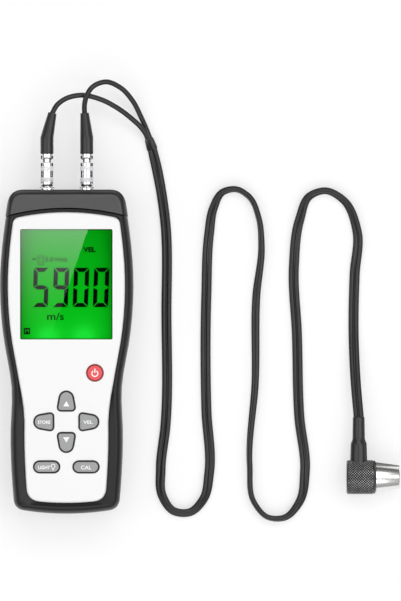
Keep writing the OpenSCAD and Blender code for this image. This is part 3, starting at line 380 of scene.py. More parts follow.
table_half = 4
table_z = -0.0004
card_z = -0.0002
table_glow = 0.54
table_white, tree, shader = new_material("table_white")
rays = add_node(tree, "ShaderNodeLightPath").outputs
looked_at = calc(tree, "MAXIMUM", rays["Is Camera Ray"], rays["Is Glossy Ray"])
looked_at = calc(tree, "MAXIMUM", looked_at, rays["Is Transmission Ray"])
feed(tree, shader, {
    "Base Color": (0.46, 0.46, 0.46, 1), "Roughness": 0.9, "Emission Color": (1, 1, 1, 1),
    "Emission Strength": calc(tree, "MULTIPLY", looked_at, table_glow),
})
sheet("table", rectangle(-table_half, table_half, -table_half, table_half, table_z), table_white)

studio = bpy.data.worlds.new("studio")
studio.use_nodes = True
scene.world = studio
tree = studio.node_tree
way = split(tree, place_in(tree, "Generated"))
fade = add_node(tree, "ShaderNodeValToRGB", {0: calc(tree, "MULTIPLY_ADD", way["Y"], -0.35, way["Z"])})
low_end, high_end = fade.color_ramp.elements
low_end.color = (0.12, 0.12, 0.12, 1)
high_end.position = 0.78
high_end.color = (0.5, 0.5, 0.5, 1)
dark_round_lens = ranged(tree, way["Z"], 0.991, 0.984, 0.02, 1.0)
feed(tree, tree.nodes["Background"], {"Color": fade.outputs["Color"], "Strength": dark_round_lens})

light_aim = (0.06, 0.03, 0)
for name, at, size, power in (
    ("upper_box", (0.2, 0.7, 1.15), (1.2, 0.55), 4.6),
    ("lower_box", (0.1, -0.75, 1.0), (1.2, 0.6), 4.0),
    ("right_box", (0.72, 0.03, 1.05), (0.4, 1.1), 3.0),
    ("left_box", (-0.58, 0.03, 1.05), (0.4, 1.1), 2.2),
):
    lamp = bpy.data.lights.new(name, "AREA")
    lamp.shape = "RECTANGLE"
    lamp.size, lamp.size_y = size
    lamp.energy = power
    soft_box = bpy.data.objects.new(name, lamp)
    soft_box.location = at
    soft_box.rotation_euler = (Vector(light_aim) - Vector(at)).to_track_quat("-Z", "Y").to_euler()
    soft_box.visible_camera = False
    scene.collection.objects.link(soft_box)


def card(name, corners, tone):
    """A card that shows only in what is polished."""
    finish, tree, shader = new_material(name)
    feed(tree, shader, {"Base Color": (tone, tone, tone, 1), "Roughness": 1.0, "Specular IOR Level": 0.0})
    made = sheet(name, corners, finish)
    made.visible_camera = made.visible_shadow = made.visible_diffuse = False
    return tree, shader


card("dark_card_1", rectangle(-0.15, 0.13, 0.0895, 0.1065, card_z), 0.03)
card("dark_card_2", rectangle(0.166, 0.185, -0.062, 0.4, card_z), 0.22)
glare_corners = [(-0.08, -0.02, 1.0), (-0.036, -0.02, 1.0), (0.003, 0.093, 1.0), (-0.08, 0.093, 1.0)]
tree, shader = card("glare_card", glare_corners, 0.0)
glare_top = 0.076
glare_least, glare_gain = 0.04, 2.5
upwards = ranged(tree, split(tree, place_in(tree))["Y"], 0, glare_top)
feed(tree, shader, {
    "Emission Color": (1, 1, 1, 1),
    "Emission Strength": calc(tree, "MULTIPLY_ADD", calc(tree, "POWER", upwards, 2.0), glare_gain, glare_least),
})

# Case. The rear and front covers are moulded in dark textured plastic and screwed together from
# the back; the cap over the sockets is a lighter grey and stands a little proud of them.
same_place = 1e-6


def geometry_tree(name, sockets):
    """A geometry node tree: itself, its inputs, what its first node gives, and its last node."""
    tree = bpy.data.node_groups.new(name, "GeometryNodeTree")
    inputs = {}
    for label, kind in {"Geometry": "Geometry", **sockets}.items():
        inputs[label] = tree.interface.new_socket(label, in_out="INPUT", socket_type="NodeSocket" + kind)
    tree.interface.new_socket("Geometry", in_out="OUTPUT", socket_type="NodeSocketGeometry")
    return tree, inputs, add_node(tree, "NodeGroupInput").outputs, add_node(tree, "NodeGroupOutput")


soften, soften_inputs, given, result = geometry_tree("soft_shading", {"Sharp angle": "Float"})
merge = add_node(soften, "GeometryNodeMergeByDistance", {
    "Geometry": given["Geometry"], "Distance": same_place,
})
smooth = add_node(soften, "GeometryNodeSetShadeSmooth", {"Geometry": merge.outputs["Geometry"]})
angle = add_node(soften, "GeometryNodeInputMeshEdgeAngle").outputs["Unsigned Angle"]
steep = add_node(soften, "FunctionNodeCompare", {0: angle, 1: given["Sharp angle"]}, operation="GREATER_THAN")
crease = add_node(soften, "GeometryNodeSetShadeSmooth", {
    "Geometry": smooth.outputs["Geometry"], "Selection": steep.outputs["Result"], "Shade Smooth": False,
}, domain="EDGE")
feed(soften, result, {"Geometry": crease.outputs["Geometry"]})


def even_normals(made):
    """Lets large flat faces lead the shading of the roundings beside them."""
    weights = made.modifiers.new("even_normals", "WEIGHTED_NORMAL")
    weights.keep_sharp = True
    weights.weight = 80


def dress(node, material, degrees=30):
    """A CAD node keeps its shape and gets a finish and soft shading over shallow edges."""
    made = nodes[node]
    made.data.materials.clear()
    made.data.materials.append(material)
    shading = made.modifiers.new("soft_shading", "NODES")
    shading.node_group = soften
    shading[soften_inputs["Sharp angle"].identifier] = math.radians(degrees)
    even_normals(made)


def other_tone(finish, colour, output, axis, start, end):
    """A second colour for a finish, below a value of the object's normal or place; on the cap and panel it is
    painted shade.
    """
    tree = finish.node_tree
    shader = tree.nodes["Principled BSDF"]
    own = shader.inputs["Base Color"].links[0].from_socket
    share = ranged(tree, split(tree, place_in(tree, output))[axis], start, end)
    feed(tree, shader, {"Base Color": mixed(tree, share, colour, own)})
    return tree, shader, share


case_dark = moulded("case_dark", seen(27, 27, 28), 0.36, grain=0.0005, relief=0.00002, specular=0.32)
cap_grey = moulded("cap_grey", seen(76, 76, 77), 0.38, grain=0.0005, relief=0.00002, specular=0.45)
# The cap's roundings, where its normal leans away from straight up, are painted darker: painted shade.
other_tone(cap_grey, seen(18, 18, 19), "Normal", "Z", 0.72, 0.96)
dress("rear_cover", case_dark)
dress("front_cover", case_dark)
dress("battery_door", case_dark, 20)

# The cap is the CAD mesh with its flat front and back closed anew, each as one face, because the
# triangles there are folded over the arched joint.
work = bmesh.new()
work.from_mesh(nodes["top_cap"].data)
bmesh.ops.remove_doubles(work, verts=work.verts, dist=same_place)
heights = [v.co.z for v in work.verts]
for height in (min(heights), max(heights)):
    flat_faces = [f for f in work.faces if all(abs(v.co.z - height) < same_place for v in f.verts)]
    bmesh.ops.delete(work, geom=flat_faces, context="FACES")
    bmesh.ops.edgeloop_fill(work, edges=[e for e in work.edges if e.is_boundary])
work.verts.index_update()
cap_verts = [tuple(v.co) for v in work.verts]
cap_faces = [tuple(v.index for v in f.verts) for f in work.faces]
work.free()
even_normals(piece(
    "cap_shell", cap_verts, cap_faces, cap_grey, slot="cap_grey", stands_for=["top_cap"], sharp=30,
))

# Front panel. A white moulded plate with a chamfered edge is glued into the frame; the window and
# the keys come through it.
panel_white = moulded("panel_white", seen(246, 246, 246), 0.36, grain=0.0008, relief=0.000004, mottle=0.012)
# The chamfer, where the normal leans away from straight up, is painted grey: painted shade that draws a line
# round the panel.
other_tone(panel_white, seen(212, 212, 212), "Normal", "Z", 0.8, 0.97)
dress("front_panel", panel_white, 18)

# Screen. A clear window lies over a backlit display glass. Two lamps at the lower edge make the
# green field brighter there; the figures are dark segments in the glass.
window_clear, tree, shader = new_material("window_clear")
feed(tree, shader, {
    "Base Color": (1, 1, 1, 1), "Transmission Weight": 1.0, "IOR": 1.45,
    "Roughness": ranged(tree, noise(tree, place_in(tree), 90), 0, 1, 0.0, 0.004),
})
dress("display_window", window_clear)

field_half = 0.0249
field_low, field_high = 0.00655, 0.0661
field_rim = 0.0011
lamp_places = ((-0.0096, 0.0068), (0.0094, 0.0068))
lamp_reach = (0.0062, 0.0068)
lamp_share = 0.75
top_fade, top_bend = 0.62, 1.4
side_fade, side_bend = 0.75, 5
lit_green, tree, shader = new_material("lit_green")
place = split(tree, place_in(tree))
across, up = place["X"], place["Y"]
aside = calc(tree, "ABSOLUTE", across)
height = calc(tree, "DIVIDE", calc(tree, "SUBTRACT", up, field_low), field_high - field_low, clamp=True)
side = calc(tree, "POWER", calc(tree, "DIVIDE", aside, field_half), side_bend)
glow = 0.0
for lamp_x, lamp_y in lamp_places:
    dx = calc(tree, "DIVIDE", calc(tree, "SUBTRACT", across, lamp_x), lamp_reach[0])
    dy = calc(tree, "DIVIDE", calc(tree, "SUBTRACT", up, lamp_y), lamp_reach[1])
    far = calc(tree, "ADD", calc(tree, "MULTIPLY", dx, dx), calc(tree, "MULTIPLY", dy, dy))
    spot = calc(tree, "DIVIDE", 1.0, calc(tree, "ADD", 1.0, calc(tree, "MULTIPLY", far, far)))
    glow = calc(tree, "ADD", glow, spot)
evenness = calc(tree, "SUBTRACT", 1.0, calc(tree, "MULTIPLY", calc(tree, "POWER", height, top_bend), top_fade))
evenness = calc(tree, "SUBTRACT", evenness, calc(tree, "MULTIPLY", side, side_fade), clamp=True)
green = mixed(tree, evenness, seen(0, 128, 6), seen(4, 194, 22))
bright = mixed(tree, calc(tree, "MULTIPLY", glow, lamp_share, clamp=True), green, seen(34, 240, 62))
edge_x = calc(tree, "SUBTRACT", field_half, aside)
edge_y = calc(tree, "MINIMUM", calc(tree, "SUBTRACT", up, field_low), calc(tree, "SUBTRACT", field_high, up))
edge = calc(tree, "MINIMUM", edge_x, edge_y)
shadow = calc(tree, "SUBTRACT", 1.0, calc(tree, "DIVIDE", edge, field_rim), clamp=True)
feed(tree, shader, {
    "Base Color": (0.0, 0.02, 0.002, 1), "Specular IOR Level": 0.0,
    "Emission Color": mixed(tree, shadow, bright, seen(8, 40, 12)), "Emission Strength": 1.0,
})
dress("lcd_glass", lit_green)

segment_ink = moulded("segment_ink", seen(8, 20, 8), 0.6, relief=0.0, specular=0.0)
faint_ink, tree, shader = new_material("faint_ink")
patchy = mixed(tree, noise(tree, place_in(tree), 900), seen(0, 26, 2), seen(2, 36, 4))
feed(tree, shader, {
    "Base Color": seen(2, 60, 6), "Specular IOR Level": 0.0,
    "Emission Color": patchy, "Emission Strength": 1.0,
})


def flat_shapes(polygons, z, thickness):
    """Points and faces of thin plates with these outlines."""
    verts, faces = [], []
    for outline in polygons:
        n, first = len(outline), len(verts)
        verts += [(x, y, z) for x, y in outline] + [(x, y, z + thickness) for x, y in outline]
        faces.append(tuple(first + k for k in range(n - 1, -1, -1)))
        faces.append(tuple(first + n + k for k in range(n)))
        for k in range(n):
            j = (k + 1) % n
            faces.append((first + k, first + j, first + n + j, first + n + k))
    return verts, faces


def figure(digit, x0, y0, w, h, t, gap, slant):
    """The lit segments of one figure, of width w and height h, with strokes t."""
    m, half = h / 2, gap / 2
    upper = [(0, h - gap), (0, m + half), (t, m + t / 2 + half), (t, h - t - gap)]
    top = [(gap, h), (t + gap, h - t), (w - t - gap, h - t), (w - gap, h)]
    middle = [(gap, m), (t + half, m + t / 2), (w - t - half, m + t / 2)]
    shapes = {
        "top": top,
        "upper_left": upper,
        "upper_right": [(w - x, y) for x, y in upper],
        "lower_left": [(x, h - y) for x, y in upper],
        "lower_right": [(w - x, h - y) for x, y in upper],
        "bottom": [(x, h - y) for x, y in top],
        "middle": middle + [(w - x, h - y) for x, y in middle],
    }
    lit = {
        "5": ("top", "upper_left", "middle", "lower_right", "bottom"),
        "9": ("top", "upper_left", "upper_right", "middle", "lower_right", "bottom"),
        "0": ("top", "upper_left", "upper_right", "lower_left", "lower_right", "bottom"),
    }[digit]
    return [[(x0 + x + y * slant, y0 + y) for x, y in shapes[k]] for k in lit]


def lettering(name, words, width, height, at, z, material, body="gauge", slot=None, bold=0.0):
    """Words of a given size, centred on a place, as a thin plate."""
    curve = bpy.data.curves.new(name, "FONT")
    curve.body = words
    curve.align_x, curve.align_y = "CENTER", "CENTER"
    curve.offset = bold
    curve.extrude = 0.1
    curve.resolution_u = 6
    maker = bpy.data.objects.new(name + "_maker", curve)
    scene.collection.objects.link(maker)
    bpy.context.view_layer.update()
    drawn = bpy.data.meshes.new_from_object(maker.evaluated_get(bpy.context.evaluated_depsgraph_get()))
    bpy.data.objects.remove(maker)
    low = [min(v.co[i] for v in drawn.vertices) for i in range(3)]
    high = [max(v.co[i] for v in drawn.vertices) for i in range(3)]
    verts = []
    for v in drawn.vertices:
        x, y, up = [(v.co[i] - low[i]) / (high[i] - low[i]) for i in range(3)]
        verts.append((at[0] + (x - 0.5) * width, at[1] + (y - 0.5) * height, z + up * print_thickness))
    faces = [tuple(p.vertices) for p in drawn.polygons]
    bpy.data.meshes.remove(drawn)
    return piece(name, verts, faces, material, body, slot)


def bar(a, b, half):
    """The outline of a stroke from a to b."""
    d = Vector((b[0] - a[0], b[1] - a[1])).normalized()
    n = Vector((-d.y, d.x)) * half
    return [
        (a[0] + n.x, a[1] + n.y), (a[0] - n.x, a[1] - n.y),
        (b[0] - n.x, b[1] - n.y), (b[0] + n.x, b[1] + n.y),
    ]


print_sink = 0.00001
print_thickness = 0.00005
segment_thickness = 0.00006
ink_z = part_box("lcd_glass")[1].z - print_sink
figures_at = (-0.0184, 0.02402)
figure_pitch = 0.01085
figure_size = (0.0083, 0.02126)
segment_stroke, segment_gap, segment_slant = 0.0023, 0.00034, 0.038
figures = []
for k, digit in enumerate("5900"):
    x = figures_at[0] + figure_pitch * k
    figures += figure(digit, x, figures_at[1], *figure_size, segment_stroke, segment_gap, segment_slant)
piece("figures", *flat_shapes(figures, ink_z, segment_thickness), segment_ink, slot="switch_black")
for name, words, width, height, at, bold in (
    ("mode_word", "VEL", 0.0068, 0.0028, (0.0124, 0.05505), 0.05),
    ("unit_word", "m/s", 0.009, 0.0040, (-0.0059, 0.01905), 0.012),
):
    lettering(name, words, width, height, at, ink_z, segment_ink, slot="switch_black", bold=bold)

# The words of the frequency leave room for their capital, which is drawn with the probe's sign.
lettering(
    "frequency_word", "5.0    Hz", 0.012, 0.0026, (-0.0054, 0.0497), ink_z, faint_ink,
    slot="lcd_green", bold=0.025,
)
badge = [(-0.023, 0.00935), (-0.0196, 0.00935), (-0.0196, 0.0128), (-0.023, 0.0128)]
badge_top = ink_z + print_thickness
piece("memory_badge", *flat_shapes([badge], ink_z, print_thickness), segment_ink, slot="switch_black")
lettering("memory_word", "M", 0.002, 0.0021, (-0.0213, 0.01108), badge_top, lit_green, slot="lcd_green")
fine_stroke = 0.0002
sign_left, sign_right = -0.0153, -0.0123
sign_rows = (0.052, 0.0506, 0.0484, 0.047)
dash_start, dash_end = (-0.0185, 0.0499), (-0.0163, 0.0499)
capital_sides, capital_low, capital_high = (-0.00605, -0.00415), 0.0485, 0.0508
capital_dip = (-0.0051, 0.0493)
icon = [bar(dash_start, dash_end, 2 * fine_stroke)]
for x in (sign_left, sign_right):
    icon.append(bar((x, sign_rows[-1]), (x, sign_rows[0]), fine_stroke))
for y in sign_rows:
    icon.append(bar((sign_left - fine_stroke, y), (sign_right + fine_stroke, y), fine_stroke))
for x in capital_sides:
    icon.append(bar((x, capital_low), (x, capital_high), fine_stroke))
    icon.append(bar((x, capital_high - fine_stroke), capital_dip, fine_stroke))
piece("probe_sign", *flat_shapes(icon, ink_z, print_thickness), faint_ink, slot="lcd_green")

# Inside the case. The board and the light guide are seen only with the case open, and the cells
# with the battery door open. They carry the plain finishes of such parts.
board_green = moulded("board_green", seen(20, 92, 48), 0.35, grain=0.0006, relief=0.00001, mottle=0.2)
plain_white = moulded("plain_white", seen(232, 232, 228), 0.5)
guide_clear = moulded("guide_clear", seen(214, 240, 214), 0.2)
bright_steel = moulded("bright_steel", seen(190, 190, 192), 0.3, grain=0.0003, metallic=1.0)
switch_black = moulded("switch_black", seen(26, 26, 26), 0.5)
cell_wrap = moulded("cell_wrap", seen(196, 158, 70), 0.35, grain=0.002, relief=0.000005)
contact_grey = moulded("contact_grey", seen(150, 150, 152), 0.6)
for finish, dressed in (
    (board_green, ["main_board"]),
    (plain_white, ["lcd_frame"]),
    (guide_clear, ["backlight_guide", "backlight_lamps"]),
    (contact_grey, ["contact_strip"]),
    (switch_black, ["key_switches"]),
    (cell_wrap, ["battery_1", "battery_2", "battery_3", "battery_4"]),
    (bright_steel, ["board_screws", "battery_springs", "battery_contacts", "battery_pins", "case_screws"]),
    (jacket, ["socket_leads"]),
):
    for node in dressed:
        dress(node, finish)

# Keys. Soft silicone keys in grey, one in red, come up through the panel. The rounded rim round
# each top is painted darker as shade, and the words and signs on them are printed in white.
key_grey = moulded("key_grey", seen(162, 162, 163), 0.55, grain=0.0005, relief=0.00002, mottle=0.1)
# The rims' finishes are darker copies of the keys' own colours: painted shade on the roundings.
key_rim_shade = moulded("key_rim_shade", seen(40, 40, 41), 0.45, specular=0.35)
key_red = moulded("key_red", seen(238, 84, 88), 0.45, grain=0.0005, relief=0.00001)
key_red_rim_shade = moulded("key_red_rim_shade", seen(176, 44, 52), 0.45)
legend_white = moulded("legend_white", seen(250, 250, 250), 0.5, relief=0.0, mottle=0.01)
key_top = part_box("up_key")[1].z
panel_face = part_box("front_panel")[1].z
key_flange = 0.0009
key_depth = 0.0018
key_rim_shade_drop = 0.04
key_round = 0.0045
long_width, long_height = 0.0143, 0.0066
key_profile = (
    (0, 0.45), (-0.0001, 0.62), (-0.00025, 0.78), (-0.00045, 0.9), (-0.0007, 0.97),
    (-0.00095, 1), (-0.0014, 1),
)


def arrow_outline(grow, w=0.0098, h=0.0109, corner=0.002, tip=0.004):
    """A rounded triangle on its base, with a wider rounding at its tip."""
    bx, by, ty = w / 2 - corner, corner, h - tip
    d = math.hypot(bx, ty - by)
    lean = math.degrees(math.atan2(ty - by, -bx) - math.acos((corner - tip) / d))
    right = arc(bx, by, corner + grow, -90, lean, 10)
    left = arc(-bx, by, corner + grow, 180 - lean, 270, 10)
    return right + arc(0, ty, tip + grow, lean, 180 - lean, 20) + left


def long_outline(grow):
    c, r = (long_width - long_height) / 2, long_height / 2 + grow
    return arc(c, 0, r, -90, 90, 20) + arc(-c, 0, r, 90, 270, 20)


def round_outline(grow):
    return circle(key_round + grow, 48)


def key(node, outline, at, turn):
    """A key over its CAD node: straight sides, a rounded rim and a flat top."""
    slot, face, rim = "key_grey", key_grey, key_rim_shade
    if node == "power_key":
        slot, face, rim = "key_red", key_red, key_red_rim_shade
    rise = key_top - panel_face
    c, s = math.cos(math.radians(turn)), math.sin(math.radians(turn))
    levels = [(0, panel_face - key_depth)]
    levels += [(grow, panel_face + rise * share) for grow, share in key_profile]
    rings = []
    for grow, z in levels:
        rings.append([(at[0] + x * c - y * s, at[1] + x * s + y * c, z) for x, y in outline(grow)])
    made = piece(node + "_cap", *skin(rings), face, node, slot=slot, stands_for=[node], sharp=40)
    made.data.materials.append(rim)
    # The faces of the rounded rim take the darker finish: painted shade.
    for polygon in made.data.polygons:
        if polygon.center.z < key_top - rise * key_rim_shade_drop:
            polygon.material_index = 1


def middle_of(node):
    low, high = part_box(node)
    return ((low.x + high.x) / 2, (low.y + high.y) / 2)


key_at = {node: middle_of(node) for node in ("power_key", "light_key", "cal_key")}
key_at["up_key"] = (0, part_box("up_key")[0].y + key_flange)
key_at["down_key"] = (0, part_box("down_key")[1].y - key_flange)
key_at["left_key"] = (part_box("left_key")[1].x - key_flange, middle_of("left_key")[1])
key_at["right_key"] = (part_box("right_key")[0].x + key_flange, middle_of("right_key")[1])
for node, outline, turn in (
    ("power_key", round_outline, 0), ("up_key", arrow_outline, 0), ("down_key", arrow_outline, 180),
    ("left_key", arrow_outline, 90), ("right_key", arrow_outline, -90), ("light_key", long_outline, 0),
    ("cal_key", long_outline, 0),
):
    key(node, outline, key_at[node], turn)

legend_z = key_top - print_sink


def mark(node, shapes):
    shape = flat_shapes(shapes, legend_z, print_thickness)
    piece(node + "_mark", *shape, legend_white, node, slot="panel_white")


triangle_half, triangle_low, triangle_high = 0.0017, 0.0026, 0.0055
for node, way in (("up_key", 1), ("down_key", -1)):
    x, y = key_at[node]
    base, tip = y + triangle_low * way, y + triangle_high * way
    mark(node, [[(x - triangle_half * way, base), (x + triangle_half * way, base), (x, tip)]])
for node, words, width, height, shift, bold in (
    ("left_key", "STORE", 0.0068, 0.0018, (-0.0053, -0.0002), 0.025),
    ("right_key", "VEL", 0.0052, 0.0018, (0.005, -0.0002), 0.02),
    ("light_key", "LIGHT", 0.0064, 0.0019, (-0.0013, -0.0003), 0.03),
    ("cal_key", "CAL", 0.0056, 0.0021, (0.0001, -0.0003), 0.02),
):
    at = (key_at[node][0] + shift[0], key_at[node][1] + shift[1])
    lettering(node + "_word", words, width, height, at, legend_z, legend_white, node, "panel_white", bold)


def open_ring(x, y, outer, inner, start, end, steps):
    """The outline of a ring's stretch from one angle to another."""
    return arc(x, y, outer, start, end, steps) + arc(x, y, inner, end, start, steps)


bulb_shift, bulb_rise = (0.0035, -0.0002), 0.0007
bulb_strokes = ((0.0006, 0.0005, 0.0002), (0.0005, 0.0011, 0.0002), (0.0003, 0.0016, 0.00015))
x, y = key_at["light_key"][0] + bulb_shift[0], key_at["light_key"][1] + bulb_shift[1]
bulb = [open_ring(x, y + bulb_rise, 0.0012, 0.0008, -55, 235, 24)]
for half_length, drop, half in bulb_strokes:
    bulb.append(bar((x - half_length, y - drop), (x + half_length, y - drop), half))
mark("light_key", bulb)
sign_drop, sign_bar_low, sign_bar_high, sign_bar_half = 0.0003, 0.0001, 0.0023, 0.0003
x, y = key_at["power_key"]
sign_bar = bar((x, y + sign_bar_low), (x, y + sign_bar_high), sign_bar_half)
mark("power_key", [open_ring(x, y - sign_drop, 0.0019, 0.0013, 125, 415, 28), sign_bar])

# Sockets and plugs. Turned brass, chromed: a nut holds each socket in the cap, and the plug's
# outer sleeve slides back to release it. Two ribbed bands give the fingers a hold.
polished = {"grain": 0.0004, "relief": 0.000002, "mottle": 0.03}
plug_chrome = moulded("plug_chrome", seen(240, 240, 242), 0.12, metallic=1.0, **polished)
rib_satin = moulded("rib_satin", seen(248, 248, 250), 0.45, 0.0003, 0.000004, 0.03, metallic=0.1)
socket_chrome = moulded("socket_chrome", seen(240, 240, 242), 0.14, **polished)
in_wall, out_of_wall = 0.0846, 0.085
tree, shader, outside = other_tone(socket_chrome, seen(20, 20, 20), "Object", "Y", in_wall, out_of_wall)
feed(tree, shader, {"Metallic": outside})
for node in ("left_socket", "right_socket"):
    dress(node, socket_chrome)
for node in ("left_plug_core", "right_plug_core"):
    dress(node, plug_chrome)


def turned(profile, axis, at, steps=64, closed=True):
    """A profile of (radius, distance) turned about an axis along X or Y."""
    n = len(profile)
    verts, faces = [], []
    for k in range(steps):
        a = 2 * math.pi * k / steps
        for r, s in profile:
            u, v = r * math.cos(a), r * math.sin(a)
            verts.append((at[0] + u, s, at[1] + v) if axis == "y" else (s, at[0] + u, at[1] + v))
    for k in range(steps):
        j = (k + 1) % steps
        for i in range(n if closed else n - 1):
            m = (i + 1) % n
            faces.append((k * n + i, k * n + m, j * n + m, j * n + i))
    return verts, faces


def pass_on(tree, copies, given, result):
    """Makes a tree's copies real, in the finish that it is given."""
    real = add_node(tree, "GeometryNodeRealizeInstances", {"Geometry": copies.outputs["Geometry"]})
    painted = add_node(tree, "GeometryNodeSetMaterial", {
        "Geometry": real.outputs["Geometry"], "Material": given["Finish"],
    })
    feed(tree, result, {"Geometry": painted.outputs["Geometry"]})


def grown(name, group, inputs, values, body):
    """A node tree's result as a plain mesh on a body."""
    maker = bpy.data.objects.new(name + "_maker", bpy.data.meshes.new(name + "_maker"))
    scene.collection.objects.link(maker)
    tool = maker.modifiers.new("maker", "NODES")
    tool.node_group = group
    for label, value in values.items():
        tool[inputs[label].identifier] = value
    maker.update_tag()
    bpy.context.view_layer.update()
    mesh = bpy.data.meshes.new_from_object(maker.evaluated_get(bpy.context.evaluated_depsgraph_get()))
    bpy.data.objects.remove(maker)
    made = bpy.data.objects.new(name, mesh)
    scene.collection.objects.link(made)
    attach(made, body)


ribs, rib_inputs, given, result = geometry_tree("ribbed_band", {
    "Count": "Int", "Radius": "Float", "Length": "Float", "Width": "Float", "Height": "Float",
    "Centre": "Vector", "Finish": "Material",
})
hoop = add_node(ribs, "GeometryNodeMeshCircle", {"Vertices": given["Count"], "Radius": given["Radius"]})
rib_size = add_node(ribs, "ShaderNodeCombineXYZ", {
    "X": given["Height"], "Y": given["Width"], "Z": given["Length"],
})
rib = add_node(ribs, "GeometryNodeMeshCube", {"Size": rib_size.outputs[0]})
spot = add_node(ribs, "GeometryNodeInputPosition").outputs[0]
face_out = add_node(ribs, "FunctionNodeAlignRotationToVector", {"Vector": spot}, axis="X")
placed = add_node(ribs, "GeometryNodeInstanceOnPoints", {
    "Points": hoop.outputs["Mesh"], "Instance": rib.outputs["Mesh"], "Rotation": face_out.outputs[0],
})
stood = add_node(ribs, "GeometryNodeTransform", {
    "Geometry": placed.outputs["Instances"], "Translation": given["Centre"], "Rotation": (-math.pi / 2, 0, 0),
})
pass_on(ribs, stood, given, result)

sleeve_r, sleeve_bore = 0.0034, 0.0024
collet_r, collet_bore = 0.0033, 0.0022
nut_bore = 0.0032
band_width = 0.0022
rib_values = {
    "Count": 26, "Radius": sleeve_r - 0.0003, "Length": band_width, "Width": 0.0004, "Height": 0.0006,
    "Finish": rib_satin,
}
for side, name in ((-1, "left"), (1, "right")):
    at = (side * plug_pitch / 2, plug_height)

    sleeve_node = name + "_release_sleeve"
    low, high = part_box(sleeve_node)
    y0, y1, r = low.y, high.y, sleeve_r
    sleeve = [
        (sleeve_bore, y0), (r - 0.0006, y0), (r - 0.00025, y0 + 0.0002), (r - 0.0001, y0 + 0.0005),
        (r - 0.0001, y0 + 0.0024), (r - 0.0004, y0 + 0.0025), (r - 0.0004, y0 + 0.0049),
        (r - 0.00025, y0 + 0.005), (r - 0.00025, y1 - 0.0047),
        (r - 0.0004, y1 - 0.0046), (r - 0.0004, y1 - 0.0022), (r - 0.0001, y1 - 0.0021),
        (r - 0.0001, y1 - 0.0005), (r - 0.0003, y1 - 0.0002), (r - 0.0007, y1), (sleeve_bore, y1),
    ]
    made = piece(
        name + "_sleeve", *turned(sleeve, "y", at), plug_chrome, sleeve_node, "plug_chrome", [sleeve_node],
    )
    made.data.materials.append(rib_satin)
    bands = (y0 + 0.0037, y1 - 0.0034)
    for polygon in made.data.polygons:
        if min(abs(polygon.center.y - y) for y in bands) < band_width / 2:
            polygon.material_index = 1
    for k, y in enumerate(bands):
        values = {**rib_values, "Centre": (at[0], y, at[1])}
        grown(f"{name}_sleeve_ribs_{k + 1}", ribs, rib_inputs, values, sleeve_node)

    low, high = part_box(name + "_collet_nut")
    y0, y1, r = low.y, high.y, collet_r
    collet = [
        (collet_bore, y0), (r - 0.0005, y0), (r - 0.0001, y0 + 0.0004), (r, y0 + 0.0006),
        (r, y1 - 0.0012), (r - 0.0003, y1 - 0.0011), (r - 0.0003, y1 - 0.0008), (r, y1 - 0.0007),
        (r, y1 - 0.0002), (r - 0.0002, y1), (collet_bore, y1),
    ]
    shape = turned(collet, "y", at)
    piece(name + "_collet", *shape, plug_chrome, slot="plug_chrome", stands_for=[name + "_collet_nut"])

    low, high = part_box(name + "_socket_nut")
    y0, y1, r = low.y, high.y, (high.x - low.x) / 2
    nut = [
        (nut_bore, y0), (r - 0.0001, y0), (r, y0 + 0.0001), (r, y1 - 0.0004), (r - 0.0002, y1 - 0.0001),
        (r - 0.0005, y1), (nut_bore, y1),
    ]
    shape = turned(nut, "y", at)
    piece(name + "_nut", *shape, plug_chrome, slot="plug_chrome", stands_for=[name + "_socket_nut"])

# Probe. A knurled, black anodised grip carries a turned steel nose. In the nose's flat end two
# clear delay lines lie either side of a cork barrier; a rubber boot leads the cord in.
grip_black = moulded("grip_black", seen(46, 46, 47), 0.24, grain=0.0004, relief=0.000005, specular=0.9)
low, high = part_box("probe_grip")
axis_y, axis_z, grip_r = (low.y + high.y) / 2, (low.z + high.z) / 2, (high.z - low.z) / 2
x0, x1 = low.x, high.x
grip_relief = 0.00035
core = grip_r - grip_relief
grip = [
    (0, x0), (grip_r - 0.0009, x0), (grip_r - 0.0003, x0 + 0.0003), (grip_r - 0.0001, x0 + 0.0006),
    (core, x0 + 0.0008), (core, x1 - 0.0008), (grip_r - 0.0001, x1 - 0.0006), (grip_r - 0.0003, x1 - 0.0003),
    (grip_r - 0.0009, x1), (0, x1),
]
shape = turned(grip, "x", (axis_y, axis_z), 96, False)
piece("grip_body", *shape, grip_black, slot="grip_black", stands_for=["probe_grip"])

# The knurl's crests are near white in patches: partly worn anodise, partly a painted highlight of the glints on
# them.
knurl_wear_and_glint, tree, shader = new_material("knurl_wear_and_glint")
place = place_in(tree)
across = add_node(tree, "ShaderNodeMapping", {
    "Vector": place, "Location": (0, -axis_y, -axis_z), "Scale": (0, 1, 1),
})
from_axis = add_node(tree, "ShaderNodeVectorMath", {0: across.outputs["Vector"]}, operation="LENGTH")
wear_and_glint_from, wear_and_glint_to = core + 0.00012, core + 0.0003
crest = ranged(tree, from_axis.outputs["Value"], wear_and_glint_from, wear_and_glint_to)
patchy = noise(tree, place, 120)
wear_and_glint = calc(tree, "MULTIPLY", crest, patchy)
feed(tree, shader, {
    "Base Color": mixed(tree, wear_and_glint, seen(16, 16, 17), seen(250, 250, 250)), "Metallic": 0.4,
    "Roughness": ranged(tree, patchy, 0, 1, 0.14, 0.26),
})

